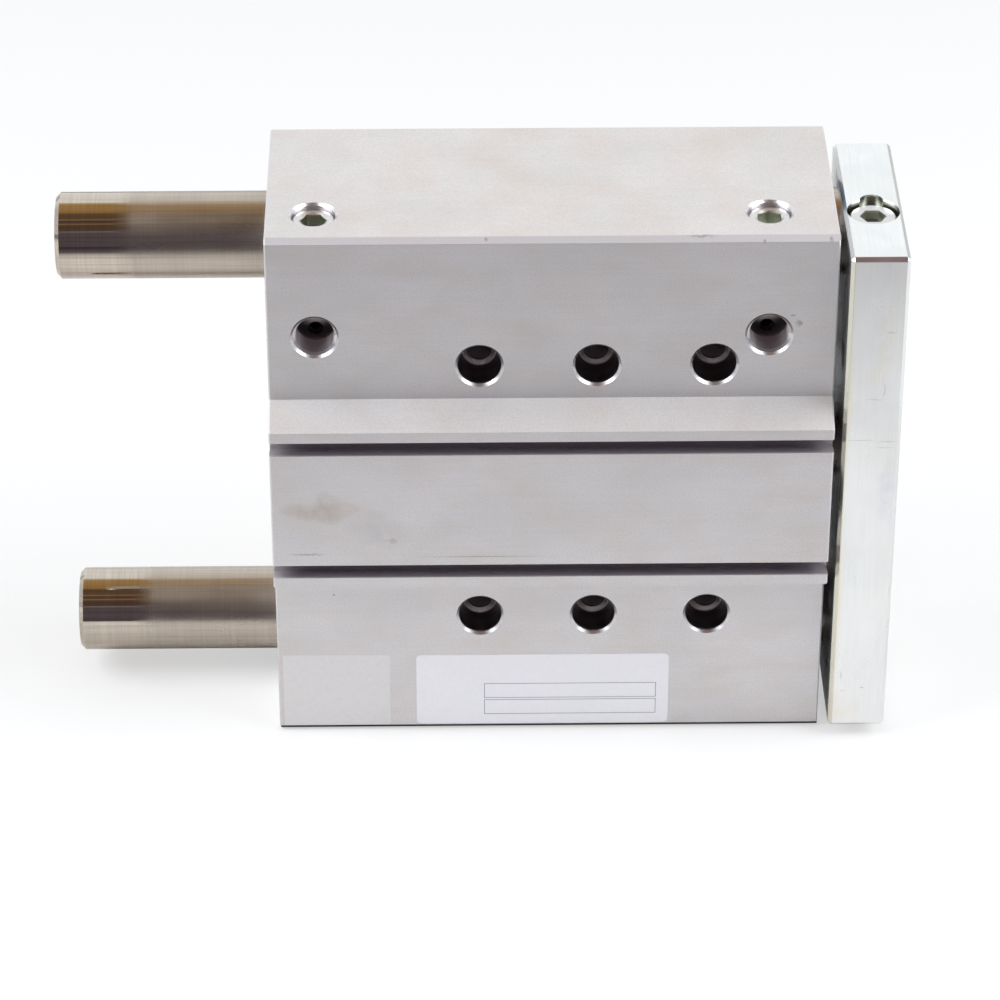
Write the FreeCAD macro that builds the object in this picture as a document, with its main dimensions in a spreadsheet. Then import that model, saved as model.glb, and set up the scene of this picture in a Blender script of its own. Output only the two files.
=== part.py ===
"""Guided pneumatic cylinder: an extruded housing with one large air cylinder between two guide rods.

The piston rod and both guide rods carry a yoke plate, which slides along +X.

Frame: millimetres.  The origin is the centre of the housing's lower narrow face, on which it stands.
+X is the way the yoke plate travels, +Y points to the flat mounting face and +Z is up.
The cylinder axis lies in the plane Y = 0, halfway up the housing.
"""
import FreeCAD, Part
import os
import re
import Sketcher
from math import cos, pi, sin

# Driving dimensions in millimetres: name, value, what it measures.
SIZES = (
    ("stroke", 125.0, "travel of the piston and the yoke plate"),
    # housing section
    ("section_height", 202.0, "long side of the housing's section"),
    ("section_depth", 91.0, "raised front band to the flat mounting face"),
    ("band_rise", 11.0, "how far the middle band stands in front of the wings"),
    ("band_half_base", 38.6, "half height of the band where it leaves the wings"),
    ("band_half_face", 31.7, "half height of the band's flat face"),
    ("long_edge_chamfer", 1.8, "chamfer along the housing's four long edges"),
    ("end_edge_chamfer", 0.5, "chamfer round both cut ends of the housing"),
    ("slot_offset", 25.1, "cylinder axis plane to the middle of a sensor slot"),
    ("slot_mouth", 5.2, "width of a sensor slot at the face"),
    ("slot_lip", 3.6, "depth of the slot's narrow neck"),
    ("slot_head", 7.4, "width of the slot behind its lips"),
    ("slot_depth", 6.6, "full depth of a sensor slot"),
    # cylinder
    ("bore", 80.0, "diameter of the cylinder bore"),
    ("seat_bore", 82.0, "diameter of the seats of the two caps"),
    ("rear_seat", 13.0, "depth of the rear cap's seat"),
    ("front_seat", 19.5, "depth of the bearing cap's seat"),
    ("ring_thickness", 2.5, "thickness of a retaining ring"),
    ("ring_inset", 2.5, "housing end to the outer side of a retaining ring"),
    ("ring_play", 0.15, "extra width of a retaining ring's groove"),
    ("ring_bite", 1.75, "depth of a retaining ring's groove"),
    ("ring_width", 6.0, "mean radial width of a retaining ring"),
    ("ring_taper", 1.2, "eccentricity that makes the ring widest opposite its gap"),
    ("ring_lug", 8.0, "diameter of a retaining ring's lug"),
    ("ring_lug_spread", 15.6, "distance between the two lug centres"),
    ("ring_lug_hole", 2.5, "diameter of the pliers' holes"),
    ("mouth_chamfer", 1.0, "chamfer at the mouths of the bores"),
    ("oring_section", 2.6, "section diameter of the caps' sealing rings"),
    # guides
    ("rod_margin", 22.9, "housing's narrow faces to the guide rod axes"),
    ("rod_back", 10.4, "guide rod axes behind the cylinder axis"),
    ("guide_rod", 30.0, "diameter of a guide rod"),
    ("guide_bore", 38.0, "bore for the guide bushes"),
    ("bush_length", 38.0, "length of a guide bush"),
    ("wiper_seat", 41.0, "diameter of the seat of a guide wiper"),
    ("wiper_depth", 5.0, "depth of the seat of a guide wiper"),
    ("running_gap", 0.03, "radial clearance of the sliding bushes"),
    ("lip_gap", 0.05, "radial clearance of seals and wipers"),
    ("bush_chamfer", 0.8, "chamfer inside the bushes"),
    # fixing holes
    ("hole_pitch", 40.0, "fixing hole pitch along the housing"),
    ("hole_spread", 103.0, "distance between the two rows of fixing holes"),
    ("hole_margin", 41.0, "front end of the housing to the first fixing hole"),
    ("hole_core", 8.5, "core diameter of the fixing holes' thread"),
    ("head_recess", 15.0, "diameter of the screw head recess"),
    ("head_recess_depth", 10.0, "depth of the screw head recess"),
    ("recess_chamfer", 0.9, "chamfer of the screw head recess"),
    ("core_chamfer", 1.2, "chamfer where the fixing holes' thread starts"),
    ("hole_chamfer", 0.5, "chamfer of small bores and small turned pieces"),
    ("sleeve_recess", 12.0, "diameter of the centring sleeve recess at the back"),
    ("sleeve_recess_depth", 2.6, "depth of the centring sleeve recess"),
    # air ports
    ("port_core", 15.0, "core diameter of the port thread"),
    ("port_chamfer", 0.8, "chamfer at the mouth of a port"),
    ("port_depth", 12.0, "depth of a port's full diameter"),
    ("port_rear_margin", 16.25, "rear end of the housing to the rear ports"),
    ("port_front_margin", 22.75, "front end of the housing to the front ports"),
    ("port_rise", 63.2, "height of the face ports above the cylinder axis"),
    ("top_port_fore", 16.8, "top ports in front of the cylinder axis"),
    ("channel", 5.0, "diameter of the drilled air channels"),
    ("channel_drop", 3.3, "air channel below the axis of its face port"),
    ("plug_length", 9.5, "length of a port plug"),
    ("plug_sink", 2.0, "how deep a port plug sits below the face"),
    ("plug_chamfer", 0.8, "chamfer of a port plug's edges"),
    ("plug_socket", 8.0, "socket of a port plug, across flats"),
    ("plug_socket_depth", 5.0, "depth of a port plug's socket"),
    ("plug_countersink", 9.9, "diameter of the countersunk mouth of that socket"),
    # caps
    ("cap_dish", 50.0, "diameter of the rear cap's dished middle"),
    ("cap_dish_depth", 2.0, "depth of the rear cap's dished middle"),
    ("cap_tap", 5.0, "core diameter of the rear cap's puller thread"),
    ("boss", 40.0, "diameter of the bearing cap's collar"),
    ("boss_inset", 0.5, "housing end to the collar's end face"),
    ("rod_bush_wall", 2.0, "wall of the piston rod's bush"),
    ("rod_bush_length", 9.0, "length of the piston rod's bush"),
    ("rod_bush_inset", 0.5, "bearing cap's inner face to the bush"),
    ("rod_seal_width", 4.5, "width of the rod seal"),
    ("rod_seal_height", 4.5, "radial height of the rod seal"),
    ("rod_wiper_width", 3.2, "width of the rod wiper"),
    ("rod_wiper_height", 4.0, "radial height of the rod wiper"),
    ("web", 1.0, "metal left between the rod bush and the rod seal"),
    ("pass_gap", 0.3, "radial clearance where a rod passes a web"),
    # yoke plate
    ("yoke_gap", 3.2, "housing to yoke plate at rest"),
    ("yoke_thickness", 20.0, "thickness of the yoke plate"),
    ("yoke_depth", 82.0, "width of the yoke plate"),
    ("yoke_margin", 4.8, "how much shorter the plate is at each end"),
    ("yoke_chamfer", 1.2, "chamfer on the plate's edges"),
    ("yoke_hole_across", 56.0, "plate's fixing holes, distance along Y"),
    ("yoke_hole_up", 103.0, "plate's fixing holes, distance along Z"),
    ("yoke_hole_chamfer", 0.8, "chamfer of the plate's fixing holes"),
    # guide rods
    ("rod_tail", 73.0, "guide rod standing out behind the housing"),
    ("rod_end_chamfer", 1.5, "chamfer at the ends of the guide rods"),
    ("rod_centre", 4.0, "diameter of the centre hole in a guide rod's end"),
    ("spigot", 28.0, "guide rod's reduced end inside the plate"),
    ("spigot_sink", 0.5, "rod ends below the plate's front"),
    # lock screws in the plate's narrow ends
    ("lock_offset", 18.9, "lock screw axis in front of the guide rod axis"),
    ("lock_thread", 12.0, "diameter of a lock screw"),
    ("lock_head", 16.0, "head diameter of a lock screw"),
    ("lock_head_height", 6.0, "head height of a lock screw"),
    ("lock_recess", 18.0, "diameter of the recess round a lock screw's head"),
    ("lock_sink", 2.0, "lock screw's head below the plate's end"),
    ("lock_length", 30.0, "lock screw's length under the head"),
    ("lock_socket", 8.0, "lock screw's socket, across flats"),
    ("lock_socket_depth", 3.5, "depth of a lock screw's socket"),
    ("notch", 8.0, "diameter of the staking notch beside the recess"),
    ("notch_offset", 7.6, "staking notch behind the lock screw axis"),
    ("notch_depth", 3.0, "depth of the staking notch"),
    # piston rod and its screws
    ("piston_rod", 25.0, "diameter of the piston rod"),
    ("nose_spigot", 18.0, "piston rod's spigot in the plate"),
    ("nose_spigot_length", 3.0, "length of that spigot"),
    ("rod_screw", 12.0, "diameter of the two piston rod screws"),
    ("rod_screw_head", 18.0, "head diameter of those screws"),
    ("rod_screw_head_height", 7.0, "head height of those screws"),
    ("rod_screw_socket", 8.0, "socket of those screws, across flats"),
    ("rod_screw_socket_depth", 4.0, "depth of that socket"),
    ("rod_screw_grip", 18.0, "thread length of those screws in the rod"),
    ("rod_screw_recess", 20.0, "diameter of the recess round those heads"),
    ("rod_screw_sink", 1.0, "those heads below their faces"),
    ("tail_spigot", 16.0, "piston rod's spigot through the piston"),
    ("spigot_entry", 4.0, "depth of the spigot's seat in the rear half"),
    ("spigot_play", 0.5, "end clearance of that spigot"),
    # piston
    ("end_clearance", 0.3, "piston's bumper to the cap at each end of the travel"),
    ("piston_play", 0.6, "piston's land to the bore, on diameter"),
    ("nose", 68.0, "diameter of the piston's ends"),
    ("nose_length", 4.5, "length of each end"),
    ("land_edge", 1.6, "width of each ridge between the piston's grooves"),
    ("seal_width", 4.5, "width of a piston seal"),
    ("seal_height", 4.7, "radial height of a piston seal's groove"),
    ("wear_width", 7.5, "width of the piston's wear ring"),
    ("wear_height", 2.2, "radial height of the wear ring's groove"),
    ("magnet_outer", 71.0, "outer diameter of the magnet ring"),
    ("magnet_inner", 58.0, "inner diameter of the magnet ring"),
    ("magnet_width", 5.0, "width of the magnet ring"),
    ("bumper_outer", 62.0, "outer diameter of a bumper"),
    ("bumper_inner", 44.0, "inner diameter of a bumper"),
    ("bumper_seat", 2.5, "depth of a bumper's seat"),
    ("bumper_proud", 1.5, "how far a bumper stands out of the piston"),
    ("spigot_oring", 1.8, "section diameter of the ring that seals the spigot"),
)

# Places worked out from the driving dimensions: name, formula.  All are millimetres in the frame above.
PLACES = (
    ("land_length", "4*land_edge + 2*seal_width + wear_width"),
    ("piston_length", "2*nose_length + land_length"),
    ("chamber", "stroke + piston_length + 2*bumper_proud + 2*end_clearance"),
    ("body_length", "rear_seat + chamber + front_seat"),
    ("rear_end", "-body_length/2"),
    ("front_end", "body_length/2"),
    ("rear_stop", "rear_end + rear_seat"),
    ("front_stop", "front_end - front_seat"),
    ("axis_height", "section_height/2"),
    ("rod_pitch", "section_height - 2*rod_margin"),
    ("band_front", "-section_depth/2"),
    ("wing_front", "band_front + band_rise"),
    ("back", "section_depth/2"),
    ("rear_port", "rear_end + port_rear_margin"),
    ("front_port", "front_end - port_front_margin"),
    ("last_hole", "front_end - hole_margin - 2*hole_pitch"),
    ("yoke_rear", "front_end + yoke_gap"),
    ("yoke_front", "yoke_rear + yoke_thickness"),
    ("yoke_middle", "yoke_rear + yoke_thickness/2"),
    ("yoke_bottom", "yoke_margin"),
    ("yoke_top", "section_height - yoke_margin"),
    ("lock_depth", "lock_head_height + lock_sink"),
    ("screw_depth", "rod_screw_head_height + rod_screw_sink"),
    ("piston_rear", "rear_stop + end_clearance + bumper_proud"),
    ("piston_middle", "piston_rear + piston_length/2"),
    ("piston_front", "piston_rear + piston_length"),
    ("ring_bore", "seat_bore + 2*ring_bite"),
    ("rear_cap_length", "rear_seat - ring_inset - ring_thickness"),
    ("cap_length", "front_seat - ring_inset - ring_thickness"),
    ("rod_bush_bore", "piston_rod + 2*running_gap"),
    ("rod_bush_outer", "rod_bush_bore + 2*rod_bush_wall"),
)

SIDES = (("upper", 1), ("lower", -1))
ENDS = (("front", 1), ("rear", -1))

# Degrees by which each tightened screw or plug stopped past having two socket corners along Y.
PLUG_TURN = {"front": 0, "rear": 30}
LOCK_SCREW_TURN = 30

doc = FreeCAD.newDocument("guided_cylinder")
sheet = doc.addObject("Spreadsheet::Sheet", "Sizes")
places = doc.addObject("App::VarSet", "Places")
holder = {}


def linked(formula):
    """Give each size and place named in a formula the object that holds it."""
    return re.sub(r"[a-z][a-z_]+", lambda word: holder.get(word.group(), "") + word.group(), str(formula))


def fill_sheets():
    """Write the driving dimensions into the sheet and the worked-out places beside it."""
    for row, (name, value, meaning) in enumerate(SIZES, start=1):
        sheet.set(f"A{row}", meaning)
        sheet.set(f"B{row}", str(value))
        sheet.setAlias(f"B{row}", name)
        holder[name] = "Sizes."
    for name, formula in PLACES:
        places.addProperty("App::PropertyFloat", name, "Places", formula)
        places.setExpression(name, linked(formula))
        holder[name] = ""
    for name, _ in PLACES:
        holder[name] = "Places."
    doc.recompute()


def place(thing, at, turn=None):
    """Bind an object's position to three formulas and turn it by a fixed rotation."""
    if turn is not None:
        thing.Placement = FreeCAD.Placement(FreeCAD.Vector(), turn)
    for axis, formula in zip("xyz", at):
        thing.setExpression(f"Placement.Base.{axis}", linked(formula))


def new_body(name, at=("0", "0", "0"), turn=None):
    """Start one piece as a body whose label names its file."""
    body = doc.addObject("PartDesign::Body", name)
    body.Label = name
    place(body, at, turn)
    return body


def new_sketch(body, name, plane, shift=("0", "0", "0")):
    """Add a sketch on one of the body's own planes, shifted by formulas in the sketch's directions."""
    sketch = body.newObject("Sketcher::SketchObject", name)
    support = next(part for part in body.Origin.OriginFeatures if part.Role == plane)
    sketch.AttachmentSupport = [(support, "")]
    sketch.MapMode = "FlatFace"
    for axis, formula in zip("xyz", shift):
        sketch.setExpression(f"AttachmentOffset.Base.{axis}", linked(formula))
    return sketch


def outline(body, name, plane, corners, shift=("0", "0", "0")):
    """Draw a closed outline of straight lines through corners given as pairs of formulas."""
    sketch = new_sketch(body, name, plane, shift)
    count = len(corners)
    rough = [FreeCAD.Vector(cos(2 * pi * i / count), sin(2 * pi * i / count), 0) * 50 for i in range(count)]
    sketch.addGeometry([Part.LineSegment(rough[i], rough[(i + 1) % count]) for i in range(count)], False)
    rules = [Sketcher.Constraint("Coincident", i, 2, (i + 1) % count, 1) for i in range(count)]
    for i in range(count):
        rules.append(Sketcher.Constraint("DistanceX", i, 1, rough[i].x))
        rules.append(Sketcher.Constraint("DistanceY", i, 1, rough[i].y))
    sketch.addConstraint(rules)
    for i, (across, along) in enumerate(corners):
        sketch.setExpression(f"Constraints[{count + 2 * i}]", linked(across))
        sketch.setExpression(f"Constraints[{count + 2 * i + 1}]", linked(along))
    return sketch


def circles(body, name, plane, rings, shift=("0", "0", "0")):
    """Draw circles given as formulas for centre across, centre along and diameter."""
    sketch = new_sketch(body, name, plane, shift)
    for i, (across, along, diameter) in enumerate(rings):
        middle = FreeCAD.Vector(30 * i + 1, 1, 0)
        sketch.addGeometry(Part.Circle(middle, FreeCAD.Vector(0, 0, 1), 5), False)
        sketch.addConstraint([
            Sketcher.Constraint("DistanceX", i, 3, middle.x),
            Sketcher.Constraint("DistanceY", i, 3, middle.y),
            Sketcher.Constraint("Diameter", i, 10),
        ])
        for step, formula in enumerate((across, along, diameter)):
            sketch.setExpression(f"Constraints[{3 * i + step}]", linked(formula))
    return sketch


def finished(body, feature, removes):
    """Make the feature the body's tip and check that it added or removed material."""
    before = sum(solid.Volume for solid in body.Shape.Solids)
    doc.recompute()
    body.Tip = feature
    doc.recompute()
    after = sum(solid.Volume for solid in body.Shape.Solids)
    if removes == (after >= before) or "Invalid" in feature.State:
        raise RuntimeError(f"{body.Label}: {feature.Name} changed nothing")
    return feature


def pad(body, sketch, length, symmetric=False, backwards=False):
    """Extrude a sketch by a formula's length."""
    feature = body.newObject("PartDesign::Pad", sketch.Name + "_pad")
    feature.Profile = sketch
    if symmetric:
        feature.SideType = "Symmetric"
    feature.Reversed = backwards
    feature.setExpression("Length", linked(length))
    sketch.Visibility = False
    return finished(body, feature, removes=False)


def pocket(body, sketch, depth, backwards=False, symmetric=False):
    """Cut a sketch into the body by a formula's depth."""
    feature = body.newObject("PartDesign::Pocket", sketch.Name + "_pocket")
    feature.Profile = sketch
    if symmetric:
        feature.SideType = "Symmetric"
    feature.Reversed = backwards
    feature.setExpression("Length", linked(depth))
    return finished(body, feature, removes=True)


def revolve(body, sketch, axis, cut=False):
    """Turn a sketch round its own horizontal or vertical axis, to add or to cut."""
    kind = "Groove" if cut else "Revolution"
    feature = body.newObject(f"PartDesign::{kind}", sketch.Name + "_turn")
    feature.Profile = sketch
    feature.ReferenceAxis = (sketch, [axis])
    feature.Angle = 360
    return finished(body, feature, removes=cut)


def turned(name, corners, at=("0", "0", "0"), turn=None):
    """A piece made on a lathe: corners give the place along its axis and the radius there."""
    body = new_body(name, at, turn)
    revolve(body, outline(body, name + "_profile", "XZ_Plane", corners), "H_Axis")
    return body


def hexagon(body, name, plane, flats, shift):
    """Draw a hexagon with two corners on the sketch's horizontal axis."""
    corner = f"{flats}/sqrt(3)"
    points = [(corner, "0")]
    points += [(f"{corner}/2", f"{flats}/2"), (f"-{corner}/2", f"{flats}/2")]
    points += [(f"-{corner}", "0")]
    points += [(f"-{corner}/2", f"-{flats}/2"), (f"{corner}/2", f"-{flats}/2")]
    return outline(body, name, plane, points, shift)


def socket_screw(name, thread, head, head_height, length, flats, socket_depth, at, turn=None):
    """Cylinder head screw along X: the head's top lies at the origin and the shank runs to -X."""
    edge = "hole_chamfer"
    corners = [
        ("0", "0"),
        ("0", f"{head}/2 - {edge}"),
        (f"-{edge}", f"{head}/2"),
        (f"-{head_height}", f"{head}/2"),
        (f"-{head_height}", f"{thread}/2"),
        (f"-{head_height} - {length} + {edge}", f"{thread}/2"),
        (f"-{head_height} - {length}", f"{thread}/2 - {edge}"),
        (f"-{head_height} - {length}", "0"),
    ]
    body = turned(name, corners, at, turn)
    pocket(body, hexagon(body, name + "_socket", "YZ_Plane", flats, ("0", "0", "0")), socket_depth)
    return body


def drilled(body, name, plane, shift, steps, inwards):
    """Cut a stepped hole round the sketch's vertical axis.

    steps are formulas for radius and depth from the mouth; inwards is the sign of the way into the metal.
    """
    sign = "" if inwards > 0 else "-"
    corners = [("0", "0")]
    corners += [(radius, f"{sign}({depth})") for radius, depth in steps]
    corners.append(("0", f"{sign}({steps[-1][1]})"))
    return revolve(body, outline(body, name, plane, corners, shift), "V_Axis", cut=True)


def make_housing():
    """Extruded aluminium housing with the cylinder bore, guide bores, slots, fixing holes and ports."""
    body = new_body("housing")
    half = [
        ("wing_front + long_edge_chamfer", "section_height/2"),
        ("wing_front", "section_height/2 - long_edge_chamfer"),
        ("wing_front", "band_half_base"),
        ("band_front", "band_half_face"),
        ("band_front", "slot_offset + slot_mouth/2"),
        ("band_front + slot_lip", "slot_offset + slot_mouth/2"),
        ("band_front + slot_lip", "slot_offset + slot_head/2"),
        ("band_front + slot_depth", "slot_offset + slot_head/2"),
        ("band_front + slot_depth", "slot_offset - slot_head/2"),
        ("band_front + slot_lip", "slot_offset - slot_head/2"),
        ("band_front + slot_lip", "slot_offset - slot_mouth/2"),
        ("band_front", "slot_offset - slot_mouth/2"),
    ]
    rear_corner = [
        ("back", "section_height/2 - long_edge_chamfer"),
        ("back - long_edge_chamfer", "section_height/2"),
    ]
    upper = rear_corner + half
    lower = [(across, f"-({up})") for across, up in reversed(upper)]
    section = outline(body, "housing_section", "YZ_Plane", upper + lower, ("0", "axis_height", "0"))
    blank = pad(body, section, "body_length", symmetric=True)
    chamfer_ends(body, blank)
    cut_cylinder(body)
    for side, sign in SIDES:
        cut_guide_bore(body, side, sign)
    cut_fixing_holes(body)
    for end, _ in ENDS:
        cut_ports(body, end)
    return body


def chamfer_ends(body, blank):
    """Break the outer edges of both cut ends, apart from those inside the sensor slots."""
    front = places.wing_front
    edges = []
    for number, edge in enumerate(blank.Shape.Edges, start=1):
        box = edge.BoundBox
        at_end = box.XLength < 1e-6
        outside = box.YMax < front + 1e-6 or box.YMin > front
        in_slot = box.YMax > places.band_front + 1e-6 and box.YMax < front - 1e-6
        if at_end and outside and not in_slot:
            edges.append(f"Edge{number}")
    feature = body.newObject("PartDesign::Chamfer", "end_chamfers")
    feature.Base = (blank, edges)
    feature.setExpression("Size", linked("end_edge_chamfer"))
    finished(body, feature, removes=True)


def cut_cylinder(body):
    """Bore the cylinder with a stepped seat and a ring groove at each end."""
    mouth = "seat_bore/2 + mouth_chamfer"
    rear = [
        ("rear_end", "0"),
        ("rear_end", mouth),
        ("rear_end + mouth_chamfer", "seat_bore/2"),
        ("rear_end + ring_inset - ring_play", "seat_bore/2"),
        ("rear_end + ring_inset - ring_play", "ring_bore/2"),
        ("rear_end + ring_inset + ring_thickness", "ring_bore/2"),
        ("rear_end + ring_inset + ring_thickness", "seat_bore/2"),
        ("rear_stop", "seat_bore/2"),
        ("rear_stop", "bore/2"),
    ]
    front = [
        ("front_stop", "bore/2"),
        ("front_stop", "seat_bore/2"),
        ("front_end - ring_inset - ring_thickness", "seat_bore/2"),
        ("front_end - ring_inset - ring_thickness", "ring_bore/2"),
        ("front_end - ring_inset + ring_play", "ring_bore/2"),
        ("front_end - ring_inset + ring_play", "seat_bore/2"),
        ("front_end - mouth_chamfer", "seat_bore/2"),
        ("front_end", mouth),
        ("front_end", "0"),
    ]
    profile = outline(body, "cylinder_bore", "XZ_Plane", rear + front, ("0", "axis_height", "0"))
    revolve(body, profile, "H_Axis", cut=True)


def cut_guide_bore(body, side, sign):
    """Bore one guide: a plain bore for the bushes with a wiper seat at each end."""
    corners = [
        ("rear_end", "0"),
        ("rear_end", "wiper_seat/2 + hole_chamfer"),
        ("rear_end + hole_chamfer", "wiper_seat/2"),
        ("rear_end + wiper_depth", "wiper_seat/2"),
        ("rear_end + wiper_depth", "guide_bore/2"),
        ("front_end - wiper_depth", "guide_bore/2"),
        ("front_end - wiper_depth", "wiper_seat/2"),
        ("front_end - hole_chamfer", "wiper_seat/2"),
        ("front_end", "wiper_seat/2 + hole_chamfer"),
        ("front_end", "0"),
    ]
    shift = ("0", f"axis_height + {sign}*rod_pitch/2", "-rod_back")
    revolve(body, outline(body, f"{side}_guide_bore", "XZ_Plane", corners, shift), "H_Axis", cut=True)


def cut_fixing_holes(body):
    """Six fixing holes right through: head recess in front, thread and sleeve recess at the back."""
    through = "back - wing_front"
    steps = [
        ("head_recess/2 + recess_chamfer", "0"),
        ("head_recess/2", "recess_chamfer"),
        ("head_recess/2", "head_recess_depth"),
        ("hole_core/2 + core_chamfer", "head_recess_depth"),
        ("hole_core/2", "head_recess_depth + core_chamfer"),
        ("hole_core/2", f"{through} - sleeve_recess_depth"),
        ("sleeve_recess/2", f"{through} - sleeve_recess_depth"),
        ("sleeve_recess/2", through),
    ]
    shift = ("last_hole", "wing_front", "axis_height - hole_spread/2")
    hole = drilled(body, "fixing_hole", "XY_Plane", shift, steps, inwards=1)
    grid = body.newObject("PartDesign::LinearPattern", "fixing_hole_grid")
    grid.Originals = [hole]
    axes = {part.Role: part for part in body.Origin.OriginFeatures}
    grid.Direction = (axes["X_Axis"], [""])
    grid.Occurrences = 3
    grid.setExpression("Length", linked("2*hole_pitch"))
    grid.Direction2 = (axes["Z_Axis"], [""])
    grid.Occurrences2 = 2
    grid.setExpression("Length2", linked("hole_spread"))
    finished(body, grid, removes=True)


def cut_ports(body, end):
    """One end's two air ports, in the front face and in the top face, joined by drilled channels."""
    mouth = [
        ("port_core/2 + port_chamfer", "0"),
        ("port_core/2", "port_chamfer"),
        ("port_core/2", "port_depth"),
    ]
    face_shift = (f"{end}_port", "wing_front", "axis_height + port_rise")
    drilled(body, f"{end}_face_port", "XY_Plane", face_shift, mouth, inwards=1)
    channel = [("channel/2", "0"), ("channel/2", "-top_port_fore - wing_front")]
    channel_shift = (f"{end}_port", "wing_front", "axis_height + port_rise - channel_drop")
    drilled(body, f"{end}_face_channel", "XY_Plane", channel_shift, channel, inwards=1)
    descent = [
        ("channel/2", "port_depth + (port_core - channel)/2/sqrt(3)"),
        ("channel/2", "section_height/2 - sqrt(bore*bore/4 - top_port_fore*top_port_fore) + channel"),
    ]
    top_shift = (f"{end}_port", "section_height", "top_port_fore")
    drilled(body, f"{end}_top_port", "XZ_Plane", top_shift, mouth + descent, inwards=-1)


def make_port_plugs():
    """Hexagon socket plugs that close the two top ports."""
    upwards = FreeCAD.Rotation(FreeCAD.Vector(0, 1, 0), -90)
    corners = [
        ("0", "0"),
        ("0", "port_core/2 - plug_chamfer"),
        ("-plug_chamfer", "port_core/2"),
        ("plug_chamfer - plug_length", "port_core/2"),
        ("-plug_length", "port_core/2 - plug_chamfer"),
        ("-plug_length", "0"),
    ]
    mouth = [
        ("0", "0"),
        ("0", "plug_countersink/2"),
        ("-plug_countersink/2/sqrt(3)", "0"),
    ]
    for end, _ in ENDS:
        at = (f"{end}_port", "-top_port_fore", "section_height - plug_sink")
        stop = FreeCAD.Rotation(FreeCAD.Vector(1, 0, 0), PLUG_TURN[end])
        body = turned(f"{end}_port_plug", corners, at, upwards * stop)
        socket = hexagon(body, f"{end}_plug_socket", "YZ_Plane", "plug_socket", ("0", "0", "0"))
        pocket(body, socket, "plug_socket_depth")
        revolve(body, outline(body, f"{end}_plug_mouth", "XZ_Plane", mouth), "H_Axis", cut=True)


def make_rear_cap():
    """Plain disc that closes the rear of the cylinder, dished and tapped for a puller."""
    groove = "rear_cap_length/2 - oring_section/2"
    corners = [
        ("0", "0"),
        ("0", "seat_bore/2 - hole_chamfer"),
        ("hole_chamfer", "seat_bore/2"),
        (groove, "seat_bore/2"),
        (groove, "seat_bore/2 - oring_section"),
        (f"{groove} + oring_section", "seat_bore/2 - oring_section"),
        (f"{groove} + oring_section", "seat_bore/2"),
        ("rear_cap_length", "seat_bore/2"),
        ("rear_cap_length", "cap_dish/2"),
        ("rear_cap_length - cap_dish_depth", "cap_dish/2 - cap_dish_depth"),
        ("rear_cap_length - cap_dish_depth", "cap_tap/2"),
        ("cap_dish_depth", "cap_tap/2"),
        ("cap_dish_depth", "0"),
    ]
    backwards = FreeCAD.Rotation(FreeCAD.Vector(0, 0, 1), 180)
    turned("rear_cap", corners, ("rear_stop", "0", "axis_height"), backwards)


def make_bearing_cap():
    """Front cap that carries the piston rod's bush, seal and wiper in a collar."""
    groove = "cap_length/2 - oring_section/2"
    bush_end = "rod_bush_inset + rod_bush_length"
    seal_start = f"({bush_end} + web)"
    seal_end = f"({seal_start} + rod_seal_width)"
    collar_end = "(front_seat - boss_inset)"
    corners = [
        ("0", "piston_rod/2 + pass_gap"),
        ("0", "seat_bore/2"),
        (groove, "seat_bore/2"),
        (groove, "seat_bore/2 - oring_section"),
        (f"{groove} + oring_section", "seat_bore/2 - oring_section"),
        (f"{groove} + oring_section", "seat_bore/2"),
        ("cap_length", "seat_bore/2"),
        ("cap_length", "boss/2"),
        (f"{collar_end} - mouth_chamfer", "boss/2"),
        (collar_end, "boss/2 - mouth_chamfer"),
        (collar_end, "piston_rod/2 + rod_wiper_height"),
        (f"{collar_end} - rod_wiper_width", "piston_rod/2 + rod_wiper_height"),
        (f"{collar_end} - rod_wiper_width", "piston_rod/2 + pass_gap"),
        (seal_end, "piston_rod/2 + pass_gap"),
        (seal_end, "piston_rod/2 + rod_seal_height"),
        (seal_start, "piston_rod/2 + rod_seal_height"),
        (seal_start, "piston_rod/2 + pass_gap"),
        (bush_end, "piston_rod/2 + pass_gap"),
        (bush_end, "rod_bush_outer/2"),
        ("rod_bush_inset", "rod_bush_outer/2"),
        ("rod_bush_inset", "piston_rod/2 + pass_gap"),
    ]
    middle = ("front_stop", "0", "axis_height")
    turned("bearing_cap", corners, middle)
    turned("rod_bush", [
        ("rod_bush_inset", "rod_bush_outer/2"),
        (bush_end, "rod_bush_outer/2"),
        (bush_end, "rod_bush_bore/2"),
        ("rod_bush_inset", "rod_bush_bore/2"),
    ], middle)
    lip_seal("rod_seal", "piston_rod/2 + lip_gap", "rod_seal_height - lip_gap", "rod_seal_width",
             (f"front_stop + {seal_start}", "0", "axis_height"))
    wiper("rod_wiper", "piston_rod/2 + lip_gap", "rod_wiper_height - lip_gap", "rod_wiper_width",
          (f"front_stop + {collar_end}", "0", "axis_height"))


def lip_seal(name, inner, height, width, at, turn=None):
    """Lip seal: a flat-backed ring whose two lips part round a V-shaped channel at its start."""
    turned(name, [
        ("0", inner),
        (width, inner),
        (width, f"{inner} + {height}"),
        ("0", f"{inner} + {height}"),
        ("0", f"{inner} + ({height})*0.7"),
        (f"{width}*0.55", f"{inner} + ({height})*0.5"),
        ("0", f"{inner} + ({height})*0.3"),
    ], at, turn)


def wiper(name, inner, height, width, at, turn=None):
    """Wiper ring with one lip at its outer end; the outer end lies at the origin."""
    turned(name, [
        (f"-({width})", f"{inner} + ({height})*0.35"),
        (f"-({width})", f"{inner} + {height}"),
        ("0", f"{inner} + {height}"),
        ("0", f"{inner} + ({height})*0.55"),
        (f"-({width})*0.35", f"{inner} + ({height})*0.4"),
        ("0", f"{inner} + ({height})*0.12"),
        ("0", inner),
        (f"-({width})*0.25", inner),
    ], at, turn)


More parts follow.
